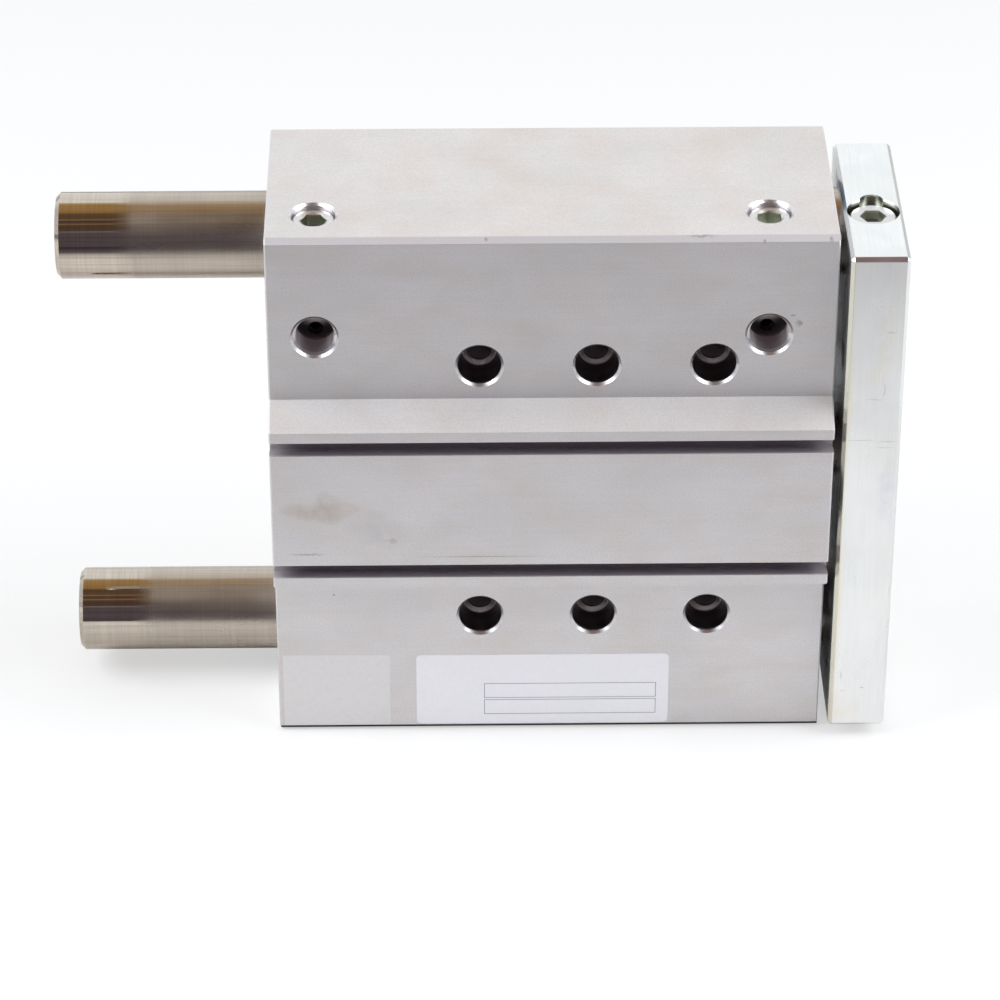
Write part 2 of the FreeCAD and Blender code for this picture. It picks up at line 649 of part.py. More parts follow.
def make_retaining_ring(name, at):
    """Internal retaining ring: widest opposite its gap, with a drilled lug on each side of the gap."""
    body = new_body(name, at)
    reach = "(ring_bore/2 - ring_width)"
    lug_height = f"sqrt({reach}*{reach} - ring_lug_spread*ring_lug_spread/4)"
    ring = circles(body, name + "_blank", "YZ_Plane", [
        ("0", "0", "ring_bore"),
        ("0", "ring_taper", "ring_bore - 2*ring_width"),
    ])
    pad(body, ring, "ring_thickness")
    lugs = [(f"{sign}ring_lug_spread/2", lug_height, "ring_lug") for sign in ("", "-")]
    pad(body, circles(body, name + "_lugs", "YZ_Plane", lugs), "ring_thickness")
    half_gap = "(ring_lug_spread/2 - ring_lug/4)"
    gap = outline(body, name + "_gap", "YZ_Plane", [
        (f"-{half_gap}", f"{lug_height} - ring_lug"),
        (half_gap, f"{lug_height} - ring_lug"),
        (half_gap, "ring_bore"),
        (f"-{half_gap}", "ring_bore"),
    ])
    pocket(body, gap, "ring_thickness", backwards=True)
    holes = [(across, up, "ring_lug_hole") for across, up, _ in lugs]
    pocket(body, circles(body, name + "_holes", "YZ_Plane", holes), "ring_thickness", backwards=True)


def make_orings():
    """Sealing rings round the two caps and round the spigot inside the piston."""
    along = FreeCAD.Rotation(FreeCAD.Vector(0, 1, 0), 90)
    rings = (
        ("rear_cap_oring", "rear_stop - rear_cap_length/2", "seat_bore/2", "oring_section"),
        ("bearing_cap_oring", "front_stop + cap_length/2", "seat_bore/2", "oring_section"),
        ("spigot_oring", "piston_middle + spigot_oring/2", "tail_spigot/2 + spigot_oring", "spigot_oring"),
    )
    for name, middle, outer, section in rings:
        ring = doc.addObject("Part::Torus", name)
        ring.Label = name
        ring.setExpression("Radius1", linked(f"{outer} - {section}/2"))
        ring.setExpression("Radius2", linked(f"{section}/2"))
        place(ring, (middle, "0", "axis_height"), along)


def make_guide(side, sign):
    """One guide: two bushes pressed into the housing, a wiper at each end, and the guide rod."""
    height = f"axis_height + {sign}*rod_pitch/2"
    for end, way in ENDS:
        turn = FreeCAD.Rotation(FreeCAD.Vector(0, 0, 1), 0 if way > 0 else 180)
        bush_bore = "guide_rod/2 + running_gap"
        turned(f"{side}_{end}_bush", [
            ("0", f"{bush_bore} + bush_chamfer"),
            ("0", "guide_bore/2"),
            ("-bush_length", "guide_bore/2"),
            ("-bush_length", f"{bush_bore} + bush_chamfer"),
            ("bush_chamfer - bush_length", bush_bore),
            ("-bush_chamfer", bush_bore),
        ], (f"{end}_end - {way}*wiper_depth", "rod_back", height), turn)
        wiper(f"{side}_{end}_wiper", "guide_rod/2 + lip_gap", "wiper_seat/2 - guide_rod/2 - lip_gap",
              "wiper_depth - hole_chamfer", (f"{end}_end - {way}*hole_chamfer", "rod_back", height), turn)
    make_guide_rod(side, sign, height)


def make_guide_rod(side, sign, height):
    """Ground guide rod, reduced inside the plate and notched there for its lock screw."""
    tail = "(rear_end - rod_tail)"
    tip = "(yoke_front - spigot_sink)"
    body = turned(f"{side}_guide_rod", [
        (f"{tail} + rod_centre", "0"),
        (tail, "rod_centre/2"),
        (tail, "guide_rod/2 - rod_end_chamfer"),
        (f"{tail} + rod_end_chamfer", "guide_rod/2"),
        ("yoke_rear", "guide_rod/2"),
        ("yoke_rear", "spigot/2"),
        (f"{tip} - hole_chamfer", "spigot/2"),
        (tip, "spigot/2 - hole_chamfer"),
        (tip, "0"),
    ], ("0", "rod_back", height))
    notch = circles(body, f"{side}_rod_notch", "XY_Plane", [("yoke_middle", "-lock_offset", "lock_thread")])
    pocket(body, notch, "spigot", symmetric=True)


def make_yoke_plate():
    """Steel yoke plate: rod seats, recessed screws, fixing holes and a lock screw hole in each end."""
    body = new_body("yoke_plate")
    plate = outline(body, "yoke_outline", "YZ_Plane", [
        ("-yoke_depth/2", "yoke_bottom"),
        ("yoke_depth/2", "yoke_bottom"),
        ("yoke_depth/2", "yoke_top"),
        ("-yoke_depth/2", "yoke_top"),
    ], ("0", "0", "yoke_rear"))
    blank = pad(body, plate, "yoke_thickness")
    edges = body.newObject("PartDesign::Chamfer", "yoke_chamfers")
    edges.Base = (blank, [f"Edge{number}" for number in range(1, len(blank.Shape.Edges) + 1)])
    edges.setExpression("Size", linked("yoke_chamfer"))
    finished(body, edges, removes=True)
    rod_seat = [
        ("yoke_rear", "0"),
        ("yoke_rear", "spigot/2"),
        ("yoke_front", "spigot/2"),
        ("yoke_front", "0"),
    ]
    for side, sign in SIDES:
        shift = ("0", f"axis_height + {sign}*rod_pitch/2", "-rod_back")
        revolve(body, outline(body, f"{side}_rod_seat", "XZ_Plane", rod_seat, shift), "H_Axis", cut=True)
        cut_lock_hole(body, side, sign)
    centre = [
        ("yoke_rear", "0"),
        ("yoke_rear", "nose_spigot/2"),
        ("yoke_rear + nose_spigot_length", "nose_spigot/2"),
        ("yoke_rear + nose_spigot_length", "rod_screw/2"),
        ("yoke_front - screw_depth", "rod_screw/2"),
        ("yoke_front - screw_depth", "rod_screw_recess/2"),
        ("yoke_front - hole_chamfer", "rod_screw_recess/2"),
        ("yoke_front", "rod_screw_recess/2 + hole_chamfer"),
        ("yoke_front", "0"),
    ]
    profile = outline(body, "centre_hole", "XZ_Plane", centre, ("0", "axis_height", "0"))
    revolve(body, profile, "H_Axis", cut=True)
    cut_yoke_holes(body)


def cut_lock_hole(body, side, sign):
    """The lock screw's recessed hole in one narrow end, with the shallow staking notch beside it."""
    steps = [
        ("lock_recess/2", "0"),
        ("lock_recess/2", "lock_depth"),
        ("lock_thread/2", "lock_depth"),
        ("lock_thread/2", "lock_depth + lock_length"),
    ]
    end = "yoke_top" if sign > 0 else "yoke_bottom"
    shift = ("yoke_middle", end, "lock_offset - rod_back")
    drilled(body, f"{side}_lock_hole", "XZ_Plane", shift, steps, -sign)
    notch = [("notch/2", "0"), ("notch/2", "notch_depth")]
    shift = ("yoke_middle", end, "lock_offset - rod_back - notch_offset")
    drilled(body, f"{side}_notch", "XZ_Plane", shift, notch, -sign)


def cut_yoke_holes(body):
    """Four threaded fixing holes through the plate."""
    radius = "hole_core/2"
    corners = [
        ("yoke_rear", "0"),
        ("yoke_rear", f"{radius} + yoke_hole_chamfer"),
        ("yoke_rear + yoke_hole_chamfer", radius),
        ("yoke_front - yoke_hole_chamfer", radius),
        ("yoke_front", f"{radius} + yoke_hole_chamfer"),
        ("yoke_front", "0"),
    ]
    shift = ("0", "axis_height - yoke_hole_up/2", "yoke_hole_across/2")
    hole = revolve(body, outline(body, "yoke_hole", "XZ_Plane", corners, shift), "H_Axis", cut=True)
    grid = body.newObject("PartDesign::LinearPattern", "yoke_hole_grid")
    grid.Originals = [hole]
    axes = {part.Role: part for part in body.Origin.OriginFeatures}
    grid.Direction = (axes["Y_Axis"], [""])
    grid.Occurrences = 2
    grid.setExpression("Length", linked("yoke_hole_across"))
    grid.Direction2 = (axes["Z_Axis"], [""])
    grid.Occurrences2 = 2
    grid.setExpression("Length2", linked("yoke_hole_up"))
    finished(body, grid, removes=True)


def make_lock_screws():
    """Low-head screws that lock the guide rods from the plate's narrow ends."""
    stop = FreeCAD.Rotation(FreeCAD.Vector(1, 0, 0), LOCK_SCREW_TURN)
    for side, sign in SIDES:
        end = "yoke_top - lock_sink" if sign > 0 else "yoke_bottom + lock_sink"
        turn = FreeCAD.Rotation(FreeCAD.Vector(0, 1, 0), -90 * sign) * stop
        socket_screw(f"{side}_lock_screw", "lock_thread", "lock_head", "lock_head_height", "lock_length",
                     "lock_socket", "lock_socket_depth", ("yoke_middle", "rod_back - lock_offset", end), turn)


def make_piston_rod():
    """Chromed piston rod with a tapped spigot at each end."""
    nose = "(yoke_rear + nose_spigot_length)"
    tail = "(piston_middle - spigot_entry + spigot_play)"
    tap = "rod_screw/2"
    depth = "rod_screw_grip + spigot_play"
    turned("piston_rod", [
        (tail, tap),
        (tail, "tail_spigot/2"),
        ("piston_front", "tail_spigot/2"),
        ("piston_front", "piston_rod/2"),
        ("yoke_rear", "piston_rod/2"),
        ("yoke_rear", "nose_spigot/2"),
        (nose, "nose_spigot/2"),
        (nose, tap),
        (f"{nose} - ({depth})", tap),
        (f"{nose} - ({depth})", "0"),
        (f"{tail} + {depth}", "0"),
        (f"{tail} + {depth}", tap),
    ], ("0", "0", "axis_height"))


def make_rod_screws():
    """Low-head screws at the two ends of the piston rod."""
    nose_length = "(yoke_thickness - screw_depth - nose_spigot_length + rod_screw_grip)"
    nose_top = ("yoke_front - rod_screw_sink", "0", "axis_height")
    socket_screw("yoke_centre_screw", "rod_screw", "rod_screw_head", "rod_screw_head_height", nose_length,
                 "rod_screw_socket", "rod_screw_socket_depth", nose_top)
    tail_length = "(piston_length/2 - screw_depth - spigot_entry + spigot_play + rod_screw_grip)"
    tail_top = ("piston_rear + rod_screw_sink", "0", "axis_height")
    backwards = FreeCAD.Rotation(FreeCAD.Vector(0, 0, 1), 180)
    socket_screw("piston_screw", "rod_screw", "rod_screw_head", "rod_screw_head_height", tail_length,
                 "rod_screw_socket", "rod_screw_socket_depth", tail_top, backwards)


def piston_half_rim():
    """Outer profile that both piston halves share, from the joint outwards."""
    land = "(bore/2 - piston_play/2)"
    seal_start = "(wear_width/2 + land_edge)"
    seal_end = f"({seal_start} + seal_width)"
    face = "piston_length/2"
    return [
        ("0", "magnet_inner/2"),
        ("magnet_width/2", "magnet_inner/2"),
        ("magnet_width/2", "magnet_outer/2"),
        ("0", "magnet_outer/2"),
        ("0", "bore/2 - wear_height"),
        ("wear_width/2", "bore/2 - wear_height"),
        ("wear_width/2", land),
        (seal_start, land),
        (seal_start, "bore/2 - seal_height"),
        (seal_end, "bore/2 - seal_height"),
        (seal_end, land),
        ("land_length/2", land),
        ("land_length/2", "nose/2"),
        (f"{face} - hole_chamfer", "nose/2"),
        (face, "nose/2 - hole_chamfer"),
        (face, "bumper_outer/2"),
        (f"{face} - bumper_seat", "bumper_outer/2"),
        (f"{face} - bumper_seat", "bumper_inner/2"),
        (face, "bumper_inner/2"),
    ]


def make_piston():
    """Two-part piston with its magnet, seals, wear ring and bumpers."""
    middle = ("piston_middle", "0", "axis_height")
    backwards = FreeCAD.Rotation(FreeCAD.Vector(0, 0, 1), 180)
    face = "piston_length/2"
    spigot_hole = "tail_spigot/2"
    seal_pocket = "tail_spigot/2 + spigot_oring"
    turned("piston_front_half", [
        (face, spigot_hole),
        ("spigot_oring", spigot_hole),
        ("spigot_oring", seal_pocket),
        ("0", seal_pocket),
    ] + piston_half_rim(), middle)
    turned("piston_rear_half", [
        (face, "rod_screw_recess/2"),
        (f"{face} - screw_depth", "rod_screw_recess/2"),
        (f"{face} - screw_depth", "rod_screw/2"),
        ("spigot_entry", "rod_screw/2"),
        ("spigot_entry", spigot_hole),
        ("0", spigot_hole),
    ] + piston_half_rim(), middle, backwards)
    turned("piston_magnet", [
        ("-magnet_width/2", "magnet_inner/2"),
        ("magnet_width/2", "magnet_inner/2"),
        ("magnet_width/2", "magnet_outer/2"),
        ("-magnet_width/2", "magnet_outer/2"),
    ], middle)
    turned("piston_wear_ring", [
        ("-wear_width/2", "bore/2 - wear_height"),
        ("wear_width/2", "bore/2 - wear_height"),
        ("wear_width/2", "bore/2 - lip_gap"),
        ("-wear_width/2", "bore/2 - lip_gap"),
    ], middle)
    for end, way in ENDS:
        outwards = FreeCAD.Rotation(FreeCAD.Vector(0, 0, 1), 0 if way > 0 else 180)
        inwards = FreeCAD.Rotation(FreeCAD.Vector(0, 0, 1), 180 if way > 0 else 0)
        seal_face = f"piston_middle + {way}*(wear_width/2 + land_edge + seal_width)"
        lip_seal(f"{end}_piston_seal", "bore/2 - seal_height", "seal_height - lip_gap", "seal_width",
                 (seal_face, "0", "axis_height"), inwards)
        turned(f"{end}_bumper", [
            ("-bumper_seat", "bumper_inner/2"),
            ("bumper_proud", "bumper_inner/2"),
            ("bumper_proud", "bumper_outer/2 - bumper_proud"),
            ("0", "bumper_outer/2"),
            ("-bumper_seat", "bumper_outer/2"),
        ], (f"piston_{end}", "0", "axis_height"), outwards)


def write_pieces():
    """Check every object of the document and write each piece's solid to its own file."""
    doc.recompute()
    for thing in doc.Objects:
        if "Invalid" in thing.State or "Error" in thing.State:
            raise RuntimeError(f"{thing.Label} failed: {thing.State}")
    pieces = [thing for thing in doc.Objects if thing.isDerivedFrom("PartDesign::Body")]
    pieces += [thing for thing in doc.Objects if thing.isDerivedFrom("Part::Torus")]
    os.makedirs("parts", exist_ok=True)
    for piece in pieces:
        shape = piece.Shape
        if shape.isNull() or not shape.isValid() or not shape.Solids:
            raise RuntimeError(f"{piece.Label} has no valid solid")
        shape.exportStep(f"parts/{piece.Label}.step")
    print(len(pieces), "pieces written")


fill_sheets()
make_housing()
make_port_plugs()
make_rear_cap()
make_bearing_cap()
make_retaining_ring("rear_retaining_ring", ("rear_end + ring_inset", "0", "axis_height"))
make_retaining_ring("front_retaining_ring", ("front_end - ring_inset - ring_thickness", "0", "axis_height"))
make_orings()
for side, sign in SIDES:
    make_guide(side, sign)
make_yoke_plate()
make_lock_screws()
make_piston_rod()
make_rod_screws()
make_piston()
write_pieces()
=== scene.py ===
import math

import bpy
from bpy.props import FloatProperty, FloatVectorProperty, IntProperty, PointerProperty
from mathutils import Matrix, Vector


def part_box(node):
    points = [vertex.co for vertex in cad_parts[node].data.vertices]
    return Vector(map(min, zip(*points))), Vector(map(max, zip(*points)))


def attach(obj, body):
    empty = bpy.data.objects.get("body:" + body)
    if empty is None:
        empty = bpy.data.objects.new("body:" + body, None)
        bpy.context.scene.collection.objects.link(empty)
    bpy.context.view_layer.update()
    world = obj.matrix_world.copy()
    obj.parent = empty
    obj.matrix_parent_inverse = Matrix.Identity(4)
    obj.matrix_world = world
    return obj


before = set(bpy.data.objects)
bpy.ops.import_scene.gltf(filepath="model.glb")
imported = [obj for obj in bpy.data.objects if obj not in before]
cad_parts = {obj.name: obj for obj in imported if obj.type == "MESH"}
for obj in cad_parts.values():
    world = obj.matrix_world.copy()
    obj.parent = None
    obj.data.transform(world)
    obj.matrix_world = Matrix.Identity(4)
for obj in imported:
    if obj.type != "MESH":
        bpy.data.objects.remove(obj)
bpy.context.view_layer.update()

bl_info = {
    "name": "Guided pneumatic cylinder",
    "version": (1, 0, 0),
    "blender": (4, 5, 0),
    "location": "View3D > Sidebar > Cylinder",
    "description": "Dresses the packed cylinder: finishes, threads, labels and a plain studio",
    "category": "Object",
}

MM = 0.001
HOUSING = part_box("housing")
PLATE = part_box("yoke_plate")

# Faces of the housing and of the yoke plate, in millimetres. The housing's raised band stands in
# front of its two wings.
REAR, FRONT = HOUSING[0].x / MM, HOUSING[1].x / MM
AXIS = (HOUSING[0].z + HOUSING[1].z) / 2 / MM
TOP = HOUSING[1].z / MM
BAND = HOUSING[0].y / MM
BAND_RAISE = 11.0
WING = BAND + BAND_RAISE
HOUSING_CHAMFER = 1.8
PLATE_INNER, PLATE_OUTER = PLATE[0].x / MM, PLATE[1].x / MM
PLATE_MIDDLE = (PLATE[0].x + PLATE[1].x) / 2 / MM
PLATE_FORE = PLATE[0].y / MM
PLATE_FOOT, PLATE_HEAD = PLATE[0].z / MM, PLATE[1].z / MM
PLATE_CHAMFER = 1.2
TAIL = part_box("upper_guide_rod")[0].x / MM

# Where the axes of the holes and ports cross the face that they start in, and their core radii.
FIRST_HOLE, HOLE_PITCH, HOLE_RISE = 41.0, 40.0, 51.5
HOLE_COLUMNS = [FRONT - FIRST_HOLE - HOLE_PITCH * step for step in range(3)]
HOLE_ROWS = (AXIS - HOLE_RISE, AXIS + HOLE_RISE)
HOLE_CORE = 4.25
PLATE_HOLE_REACH = 28.0
PORTS = (REAR + 16.25, FRONT - 22.75)
PORT_RISE = 63.2
PORT_CORE = 7.5
TOP_PORT_FORE = -16.8
SLOT_RISE = 25.1

# Holes and sockets that get painted shade inside: the axis they run along, a point on it, the
# place of their face along it, the sign of the way in and their depth. The fixing holes' painted
# shade stops just short of the housing's back, which stays bright.
FIXING_BORES = [("Y", (x, 0, z), WING, 1, 79.0) for x in HOLE_COLUMNS for z in HOLE_ROWS]
PORT_BORES = [("Y", (x, 0, AXIS + PORT_RISE), WING, 1, 30.0) for x in PORTS]
PORT_BORES += [("Z", (x, TOP_PORT_FORE, 0), TOP, -1, 20.0) for x in PORTS]
LOCK_FORE, NOTCH_FORE = -8.5, -0.9
SCREW_SINK, CENTRE_SINK = 2.0, 1.0
SOCKET_DEPTH = 9.0
SOCKETS = [("Z", (x, TOP_PORT_FORE, 0), TOP - SCREW_SINK, -1, SOCKET_DEPTH) for x in PORTS]
SOCKETS += [("Z", (PLATE_MIDDLE, LOCK_FORE, 0), PLATE_HEAD - SCREW_SINK, -1, SOCKET_DEPTH),
            ("Z", (PLATE_MIDDLE, LOCK_FORE, 0), PLATE_FOOT + SCREW_SINK, 1, SOCKET_DEPTH),
            ("X", (0, 0, AXIS), PLATE_OUTER - CENTRE_SINK, -1, SOCKET_DEPTH)]
PLATE_ENDS = ((PLATE_HEAD, -1, SOCKET_DEPTH), (PLATE_FOOT, 1, SOCKET_DEPTH))
LOCK_RECESSES = [("Z", (PLATE_MIDDLE, LOCK_FORE, 0), *end) for end in PLATE_ENDS]
STAKING_NOTCHES = [("Z", (PLATE_MIDDLE, NOTCH_FORE, 0), *end) for end in PLATE_ENDS]

# How far from its axis a hole's shade reaches, a little past the wall that it darkens.
MOUTH_SHADE, RECESS_SHADE, INNER_SHADE = 8.6, 7.7, 5.8
LOCK_SHADE, NOTCH_SHADE, SOCKET_SHADE = 9.3, 4.3, 4.8


def linear(code):
    """An sRGB hex colour as linear numbers with full opacity."""
    parts = [int(code[i:i + 2], 16) / 255 for i in (0, 2, 4)]
    return (*(c / 12.92 if c <= 0.04045 else ((c + 0.055) / 1.055) ** 2.4 for c in parts), 1.0)


def colour(name, description, code):
    """A colour that the panel shows, given as sRGB hex."""
    return FloatVectorProperty(name=name, description=description, subtype="COLOR", size=4,
                               min=0.0, max=1.0, default=linear(code))


def length(name, description, millimetres):
    """A length that the panel shows in the scene's units."""
    return FloatProperty(name=name, description=description, subtype="DISTANCE", unit="LENGTH",
                         default=millimetres * MM, precision=5)


def turns(name, description, count):
    """A number of turns that the panel shows."""
    return IntProperty(name=name, description=description, default=count, min=1)


# ---------------------------------------------------------------- settings

class FinishSettings(bpy.types.PropertyGroup):
    """Colours of the finishes."""
    aluminium: colour("Anodised aluminium", "Clear anodised extrusion of the housing", "ECECEF")
    turned: colour("Turned aluminium", "Lathe turned caps and piston halves", "C9CACC")
    chrome: colour("Chromed steel", "Ground and chromed rods", "D5CEC3")
    zinc: colour("Zinc plated steel", "Plate with bright blue zinc", "F9FDFF")
    screw: colour("Zinc plated screws", "Screws and port plugs", "E4E5E6")
    spring: colour("Spring steel", "Phosphated retaining rings", "4A4A4C")
    bronze: colour("Bearing bronze", "Guide bushes", "B08A50")
    rubber: colour("Nitrile rubber", "Sealing rings", "1E1E1F")
    urethane: colour("Polyurethane", "Wipers, piston seals and bumpers", "2C4A63")
    acetal: colour("Acetal", "Wear ring of the piston", "D9D3C4")
    ferrite: colour("Ferrite", "Sintered magnet ring", "3A3A3B")
    label: colour("Label film", "Blank white label", "ECEBEF")
    foil: colour("Foil", "Blank silver foil plate", "ECEDEF")
    ink: colour("Ruling", "Ruled fields of the blank label", "83838C")


class ThreadSettings(bpy.types.PropertyGroup):
    """Threads of the air ports, of the fixing holes and of the plate's holes."""
    port_pitch: length("Port pitch", "Pitch of the air ports' pipe thread", 1.337)
    port_ridge: length("Port ridge", "Radius of that thread's three-cornered ridge", 0.6)
    port_start: length("Port start", "Where that thread starts behind the wing's face", 1.2)
    port_turns: turns("Port turns", "Turns of that thread", 7)
    hole_pitch: length("Hole pitch", "Pitch of the fixing and plate holes' thread", 1.5)
    hole_ridge: length("Hole ridge", "Radius of that thread's three-cornered ridge", 0.55)
    hole_start: length("Hole start", "Where the front thread starts behind the wing's face", 12.0)
    hole_end: length("Hole end", "Where the rear thread starts in front of the back face", 19.0)
    hole_turns: turns("Hole turns", "Turns of each thread in a fixing hole", 10)
    plate_start: length("Plate start", "Where it starts behind the plate's inner face", 1.0)
    plate_turns: turns("Plate turns", "Turns of the thread in a plate hole", 12)


class LabelSettings(bpy.types.PropertyGroup):
    """Blank label and blank foil plate on the lower front wing."""
    label_width: length("Label width", "Length of the white label", 89.9)
    label_height: length("Label height", "Height of the white label", 30.0)
    label_start: length("Label start", "Label's left edge from the housing's rear end", 49.2)
    label_rise: length("Label rise", "Label's lower edge above the housing's lower face", 2.5)
    label_corner: length("Label corner", "Corner radius of the white label", 1.8)
    label_film: length("Label thickness", "Thickness of the white film", 0.12)
    foil_width: length("Foil width", "Length of the foil plate", 38.0)
    foil_height: length("Foil height", "Height of the foil plate", 30.6)
    foil_start: length("Foil start", "Foil's left edge from the housing's rear end", 1.8)
    foil_rise: length("Foil rise", "Foil's lower edge above the housing's lower face", 2.2)
    foil_corner: length("Foil corner", "Corner radius of the foil plate", 0.6)
    foil_film: length("Foil thickness", "Thickness of the foil", 0.06)


class StudioSettings(bpy.types.PropertyGroup):
    """Table, lamps, room and camera."""
    camera_place: FloatVectorProperty(
        name="Camera place", description="Where the camera stands", size=3,
        subtype="TRANSLATION", unit="LENGTH", default=(-0.03361, -1.26471, 0.90072))
    camera_pitch: FloatProperty(
        name="Look down", description="Camera's angle below the horizon",
        subtype="ANGLE", default=math.radians(33.12))
    camera_turn: FloatProperty(
        name="Turn", description="Camera's angle from straight ahead towards the yoke",
        subtype="ANGLE", default=math.radians(0.75))
    camera_lens: FloatProperty(
        name="Lens", description="Focal length on a 36 mm sensor", unit="CAMERA", default=152.4)
    table_size: length("Table size", "Side of the square table", 12000.0)
    table: colour("Table", "Matte white table", "F4F4F4")
    table_shine: colour("Table in metal", "The lit table as the metal shows it", "E1DDDA")
    dark_room: colour("Dark room", "The unlit room in front", "5E555C")
    wall: colour("Side walls", "Pale walls at both sides", "DCDCDE")
    even_light: colour("Even light", "The room's light on matte surfaces", "AAAAAA")
    lamp_place: FloatVectorProperty(
        name="Lamp place", description="Where the right lamp stands; the left one mirrors it",
        size=3, subtype="TRANSLATION", unit="LENGTH", default=(1.1, -0.25, 1.15))
    lamp_size: length("Lamp size", "Side of each square lamp", 1000.0)
    lamp_colour: FloatVectorProperty(
        name="Lamp colour", description="Daylight, slightly blue", subtype="COLOR", size=3,
        min=0.0, max=1.0, default=(0.95, 0.97, 1.0))
    lamp_power: FloatProperty(
        name="Lamps", description="Power of each of the two side lamps", unit="POWER",
        default=17.0, min=0.0)


# ---------------------------------------------------------------- materials

def add_node(tree, kind, inputs=(), **settings):
    """Add a node with its settings; an input given as a socket becomes a link."""
    node = tree.nodes.new(kind)
    for name, value in settings.items():
        setattr(node, name, value)
    for name, value in dict(inputs).items():
        socket = node.inputs[name]
        if isinstance(value, bpy.types.NodeSocket):
            tree.links.new(value, socket)
        else:
            socket.default_value = value
    return node


def new_material(name):
    """Start an empty node material; gives it, its tree and its object coordinates."""
    material = bpy.data.materials.new(name)
    material.use_nodes = True
    tree = material.node_tree
    tree.nodes.clear()
    return material, tree, add_node(tree, "ShaderNodeTexCoord").outputs["Object"]


def surface(tree, tint, metallic, rough, relief=None, strength=0.1, depth=0.02):
    """Close a material with one shader; relief is a height pattern, depth its millimetres."""
    inputs = {"Base Color": tint, "Metallic": metallic, "Roughness": rough}
    if relief is not None:
        bump = add_node(tree, "ShaderNodeBump", {
            "Height": relief, "Strength": strength, "Distance": depth * MM})
        inputs["Normal"] = bump.outputs[0]
    shader = add_node(tree, "ShaderNodeBsdfPrincipled", inputs)
    add_node(tree, "ShaderNodeOutputMaterial", {"Surface": shader.outputs[0]})


# The noise values between which a pattern goes from nothing to full: soft clouds or even grain.
CLOUDY, EVEN = (0.35, 0.65), (0.3, 0.7)


def grains(tree, coords, size, seed, edges=CLOUDY, reach=(0.0, 1.0), detail=2.0, turn=(0, 0, 0)):
    """Noise with grains of size = (x, y, z) millimetres, stretched between two edges to a range.
    The finest patterns are drawn coarser than the real ones, at about half a millimetre, so that
    they show."""
    place = add_node(tree, "ShaderNodeMapping", {"Vector": coords, "Rotation": turn})
    scaled = add_node(tree, "ShaderNodeMapping", {
        "Vector": place.outputs[0], "Location": (seed, seed * 0.7, seed * 1.3),
        "Scale": tuple(1 / (side * MM) for side in size)})
    noise = add_node(tree, "ShaderNodeTexNoise", {
        "Vector": scaled.outputs[0], "Scale": 1.0, "Detail": detail})
    return add_node(tree, "ShaderNodeMapRange", {
        0: noise.outputs[0], 1: edges[0], 2: edges[1], 3: reach[0], 4: reach[1]}).outputs[0]


def spot(tree, coords, centre, half, strength, ragged):
    """A soft mark of half = (x, y, z) millimetres round a centre, its outline broken up by ragged
    millimetres."""
    lumps = add_node(tree, "ShaderNodeTexNoise", {
        "Vector": coords, "Scale": 1.2 / (ragged * MM), "Detail": 4.0})
    shaken = add_node(tree, "ShaderNodeVectorMath", {
        0: lumps.outputs[1], 1: (0.5, 0.5, 0.5)}, operation="SUBTRACT")
    moved = add_node(tree, "ShaderNodeVectorMath", {
        0: shaken.outputs[0], 1: (ragged * MM,) * 3, 2: coords}, operation="MULTIPLY_ADD")
    local = add_node(tree, "ShaderNodeMapping", {
        "Vector": moved.outputs[0], "Location": tuple(-c / h for c, h in zip(centre, half)),
        "Scale": tuple(1 / (h * MM) for h in half)})
    ball = add_node(tree, "ShaderNodeTexGradient", {
        "Vector": local.outputs[0]}, gradient_type="SPHERICAL")
    return add_node(tree, "ShaderNodeMapRange", {
        0: ball.outputs[1], 1: 0.0, 2: 0.9, 3: 0.0, 4: strength}).outputs[0]


def layered(tree, base, *layers):
    """Lay colours over a base one after another; each layer is its share and its colour."""
    for share, tint in layers:
        base = add_node(tree, "ShaderNodeMix", {
            0: share, 6: base, 7: tint}, data_type="RGBA").outputs[2]
    return base


def marked(tree, coords, tint, marks):
    """Lay marks over a colour: their centre, half size, colour, share and raggedness."""
    for centre, half, code, share, ragged in marks:
        tint = layered(tree, tint, (spot(tree, coords, centre, half, share, ragged), linear(code)))
    return tint


def within_all(tree, share, limits):
    """A share multiplied by each of the limits."""
    for limit in limits:
        share = add_node(tree, "ShaderNodeMath", {
            0: limit.outputs[0], 1: share}, operation="MULTIPLY").outputs[0]
    return share


def bore_share(tree, coords, bores, start, end, radius):
    """How far inside one of the bores a point is: 0 at start and 1 at end, both in millimetres
    behind the bore's face, and only within a radius of its axis and down to its depth."""
    axes = add_node(tree, "ShaderNodeSeparateXYZ", {0: coords}).outputs
    share = 0.0
    for way, centre, face, sign, depth in bores:
        sunk = add_node(tree, "ShaderNodeMapRange", {
            0: axes[way], 1: (face + sign * start) * MM, 2: (face + sign * end) * MM,
            3: 0.0, 4: 1.0})
        across = [0.0 if letter == way else 1.0 for letter in "XYZ"]
        local = add_node(tree, "ShaderNodeMapping", {
            "Vector": coords, "Location": tuple(-c * a / radius for c, a in zip(centre, across)),
            "Scale": tuple(a / (radius * MM) for a in across)})
        disc = add_node(tree, "ShaderNodeTexGradient", {
            "Vector": local.outputs[0]}, gradient_type="SPHERICAL")
        within = add_node(tree, "ShaderNodeMath", {
            0: disc.outputs[1], 1: 0.0}, operation="GREATER_THAN")
        reach = add_node(tree, "ShaderNodeMath", {
            0: axes[way], 1: (face + sign * depth / 2) * MM, 2: depth / 2 * MM},
            operation="COMPARE")
        hole = within_all(tree, sunk.outputs[0], (within, reach))
        share = add_node(tree, "ShaderNodeMath", {
            0: hole, 1: share}, operation="MAXIMUM").outputs[0]
    return share


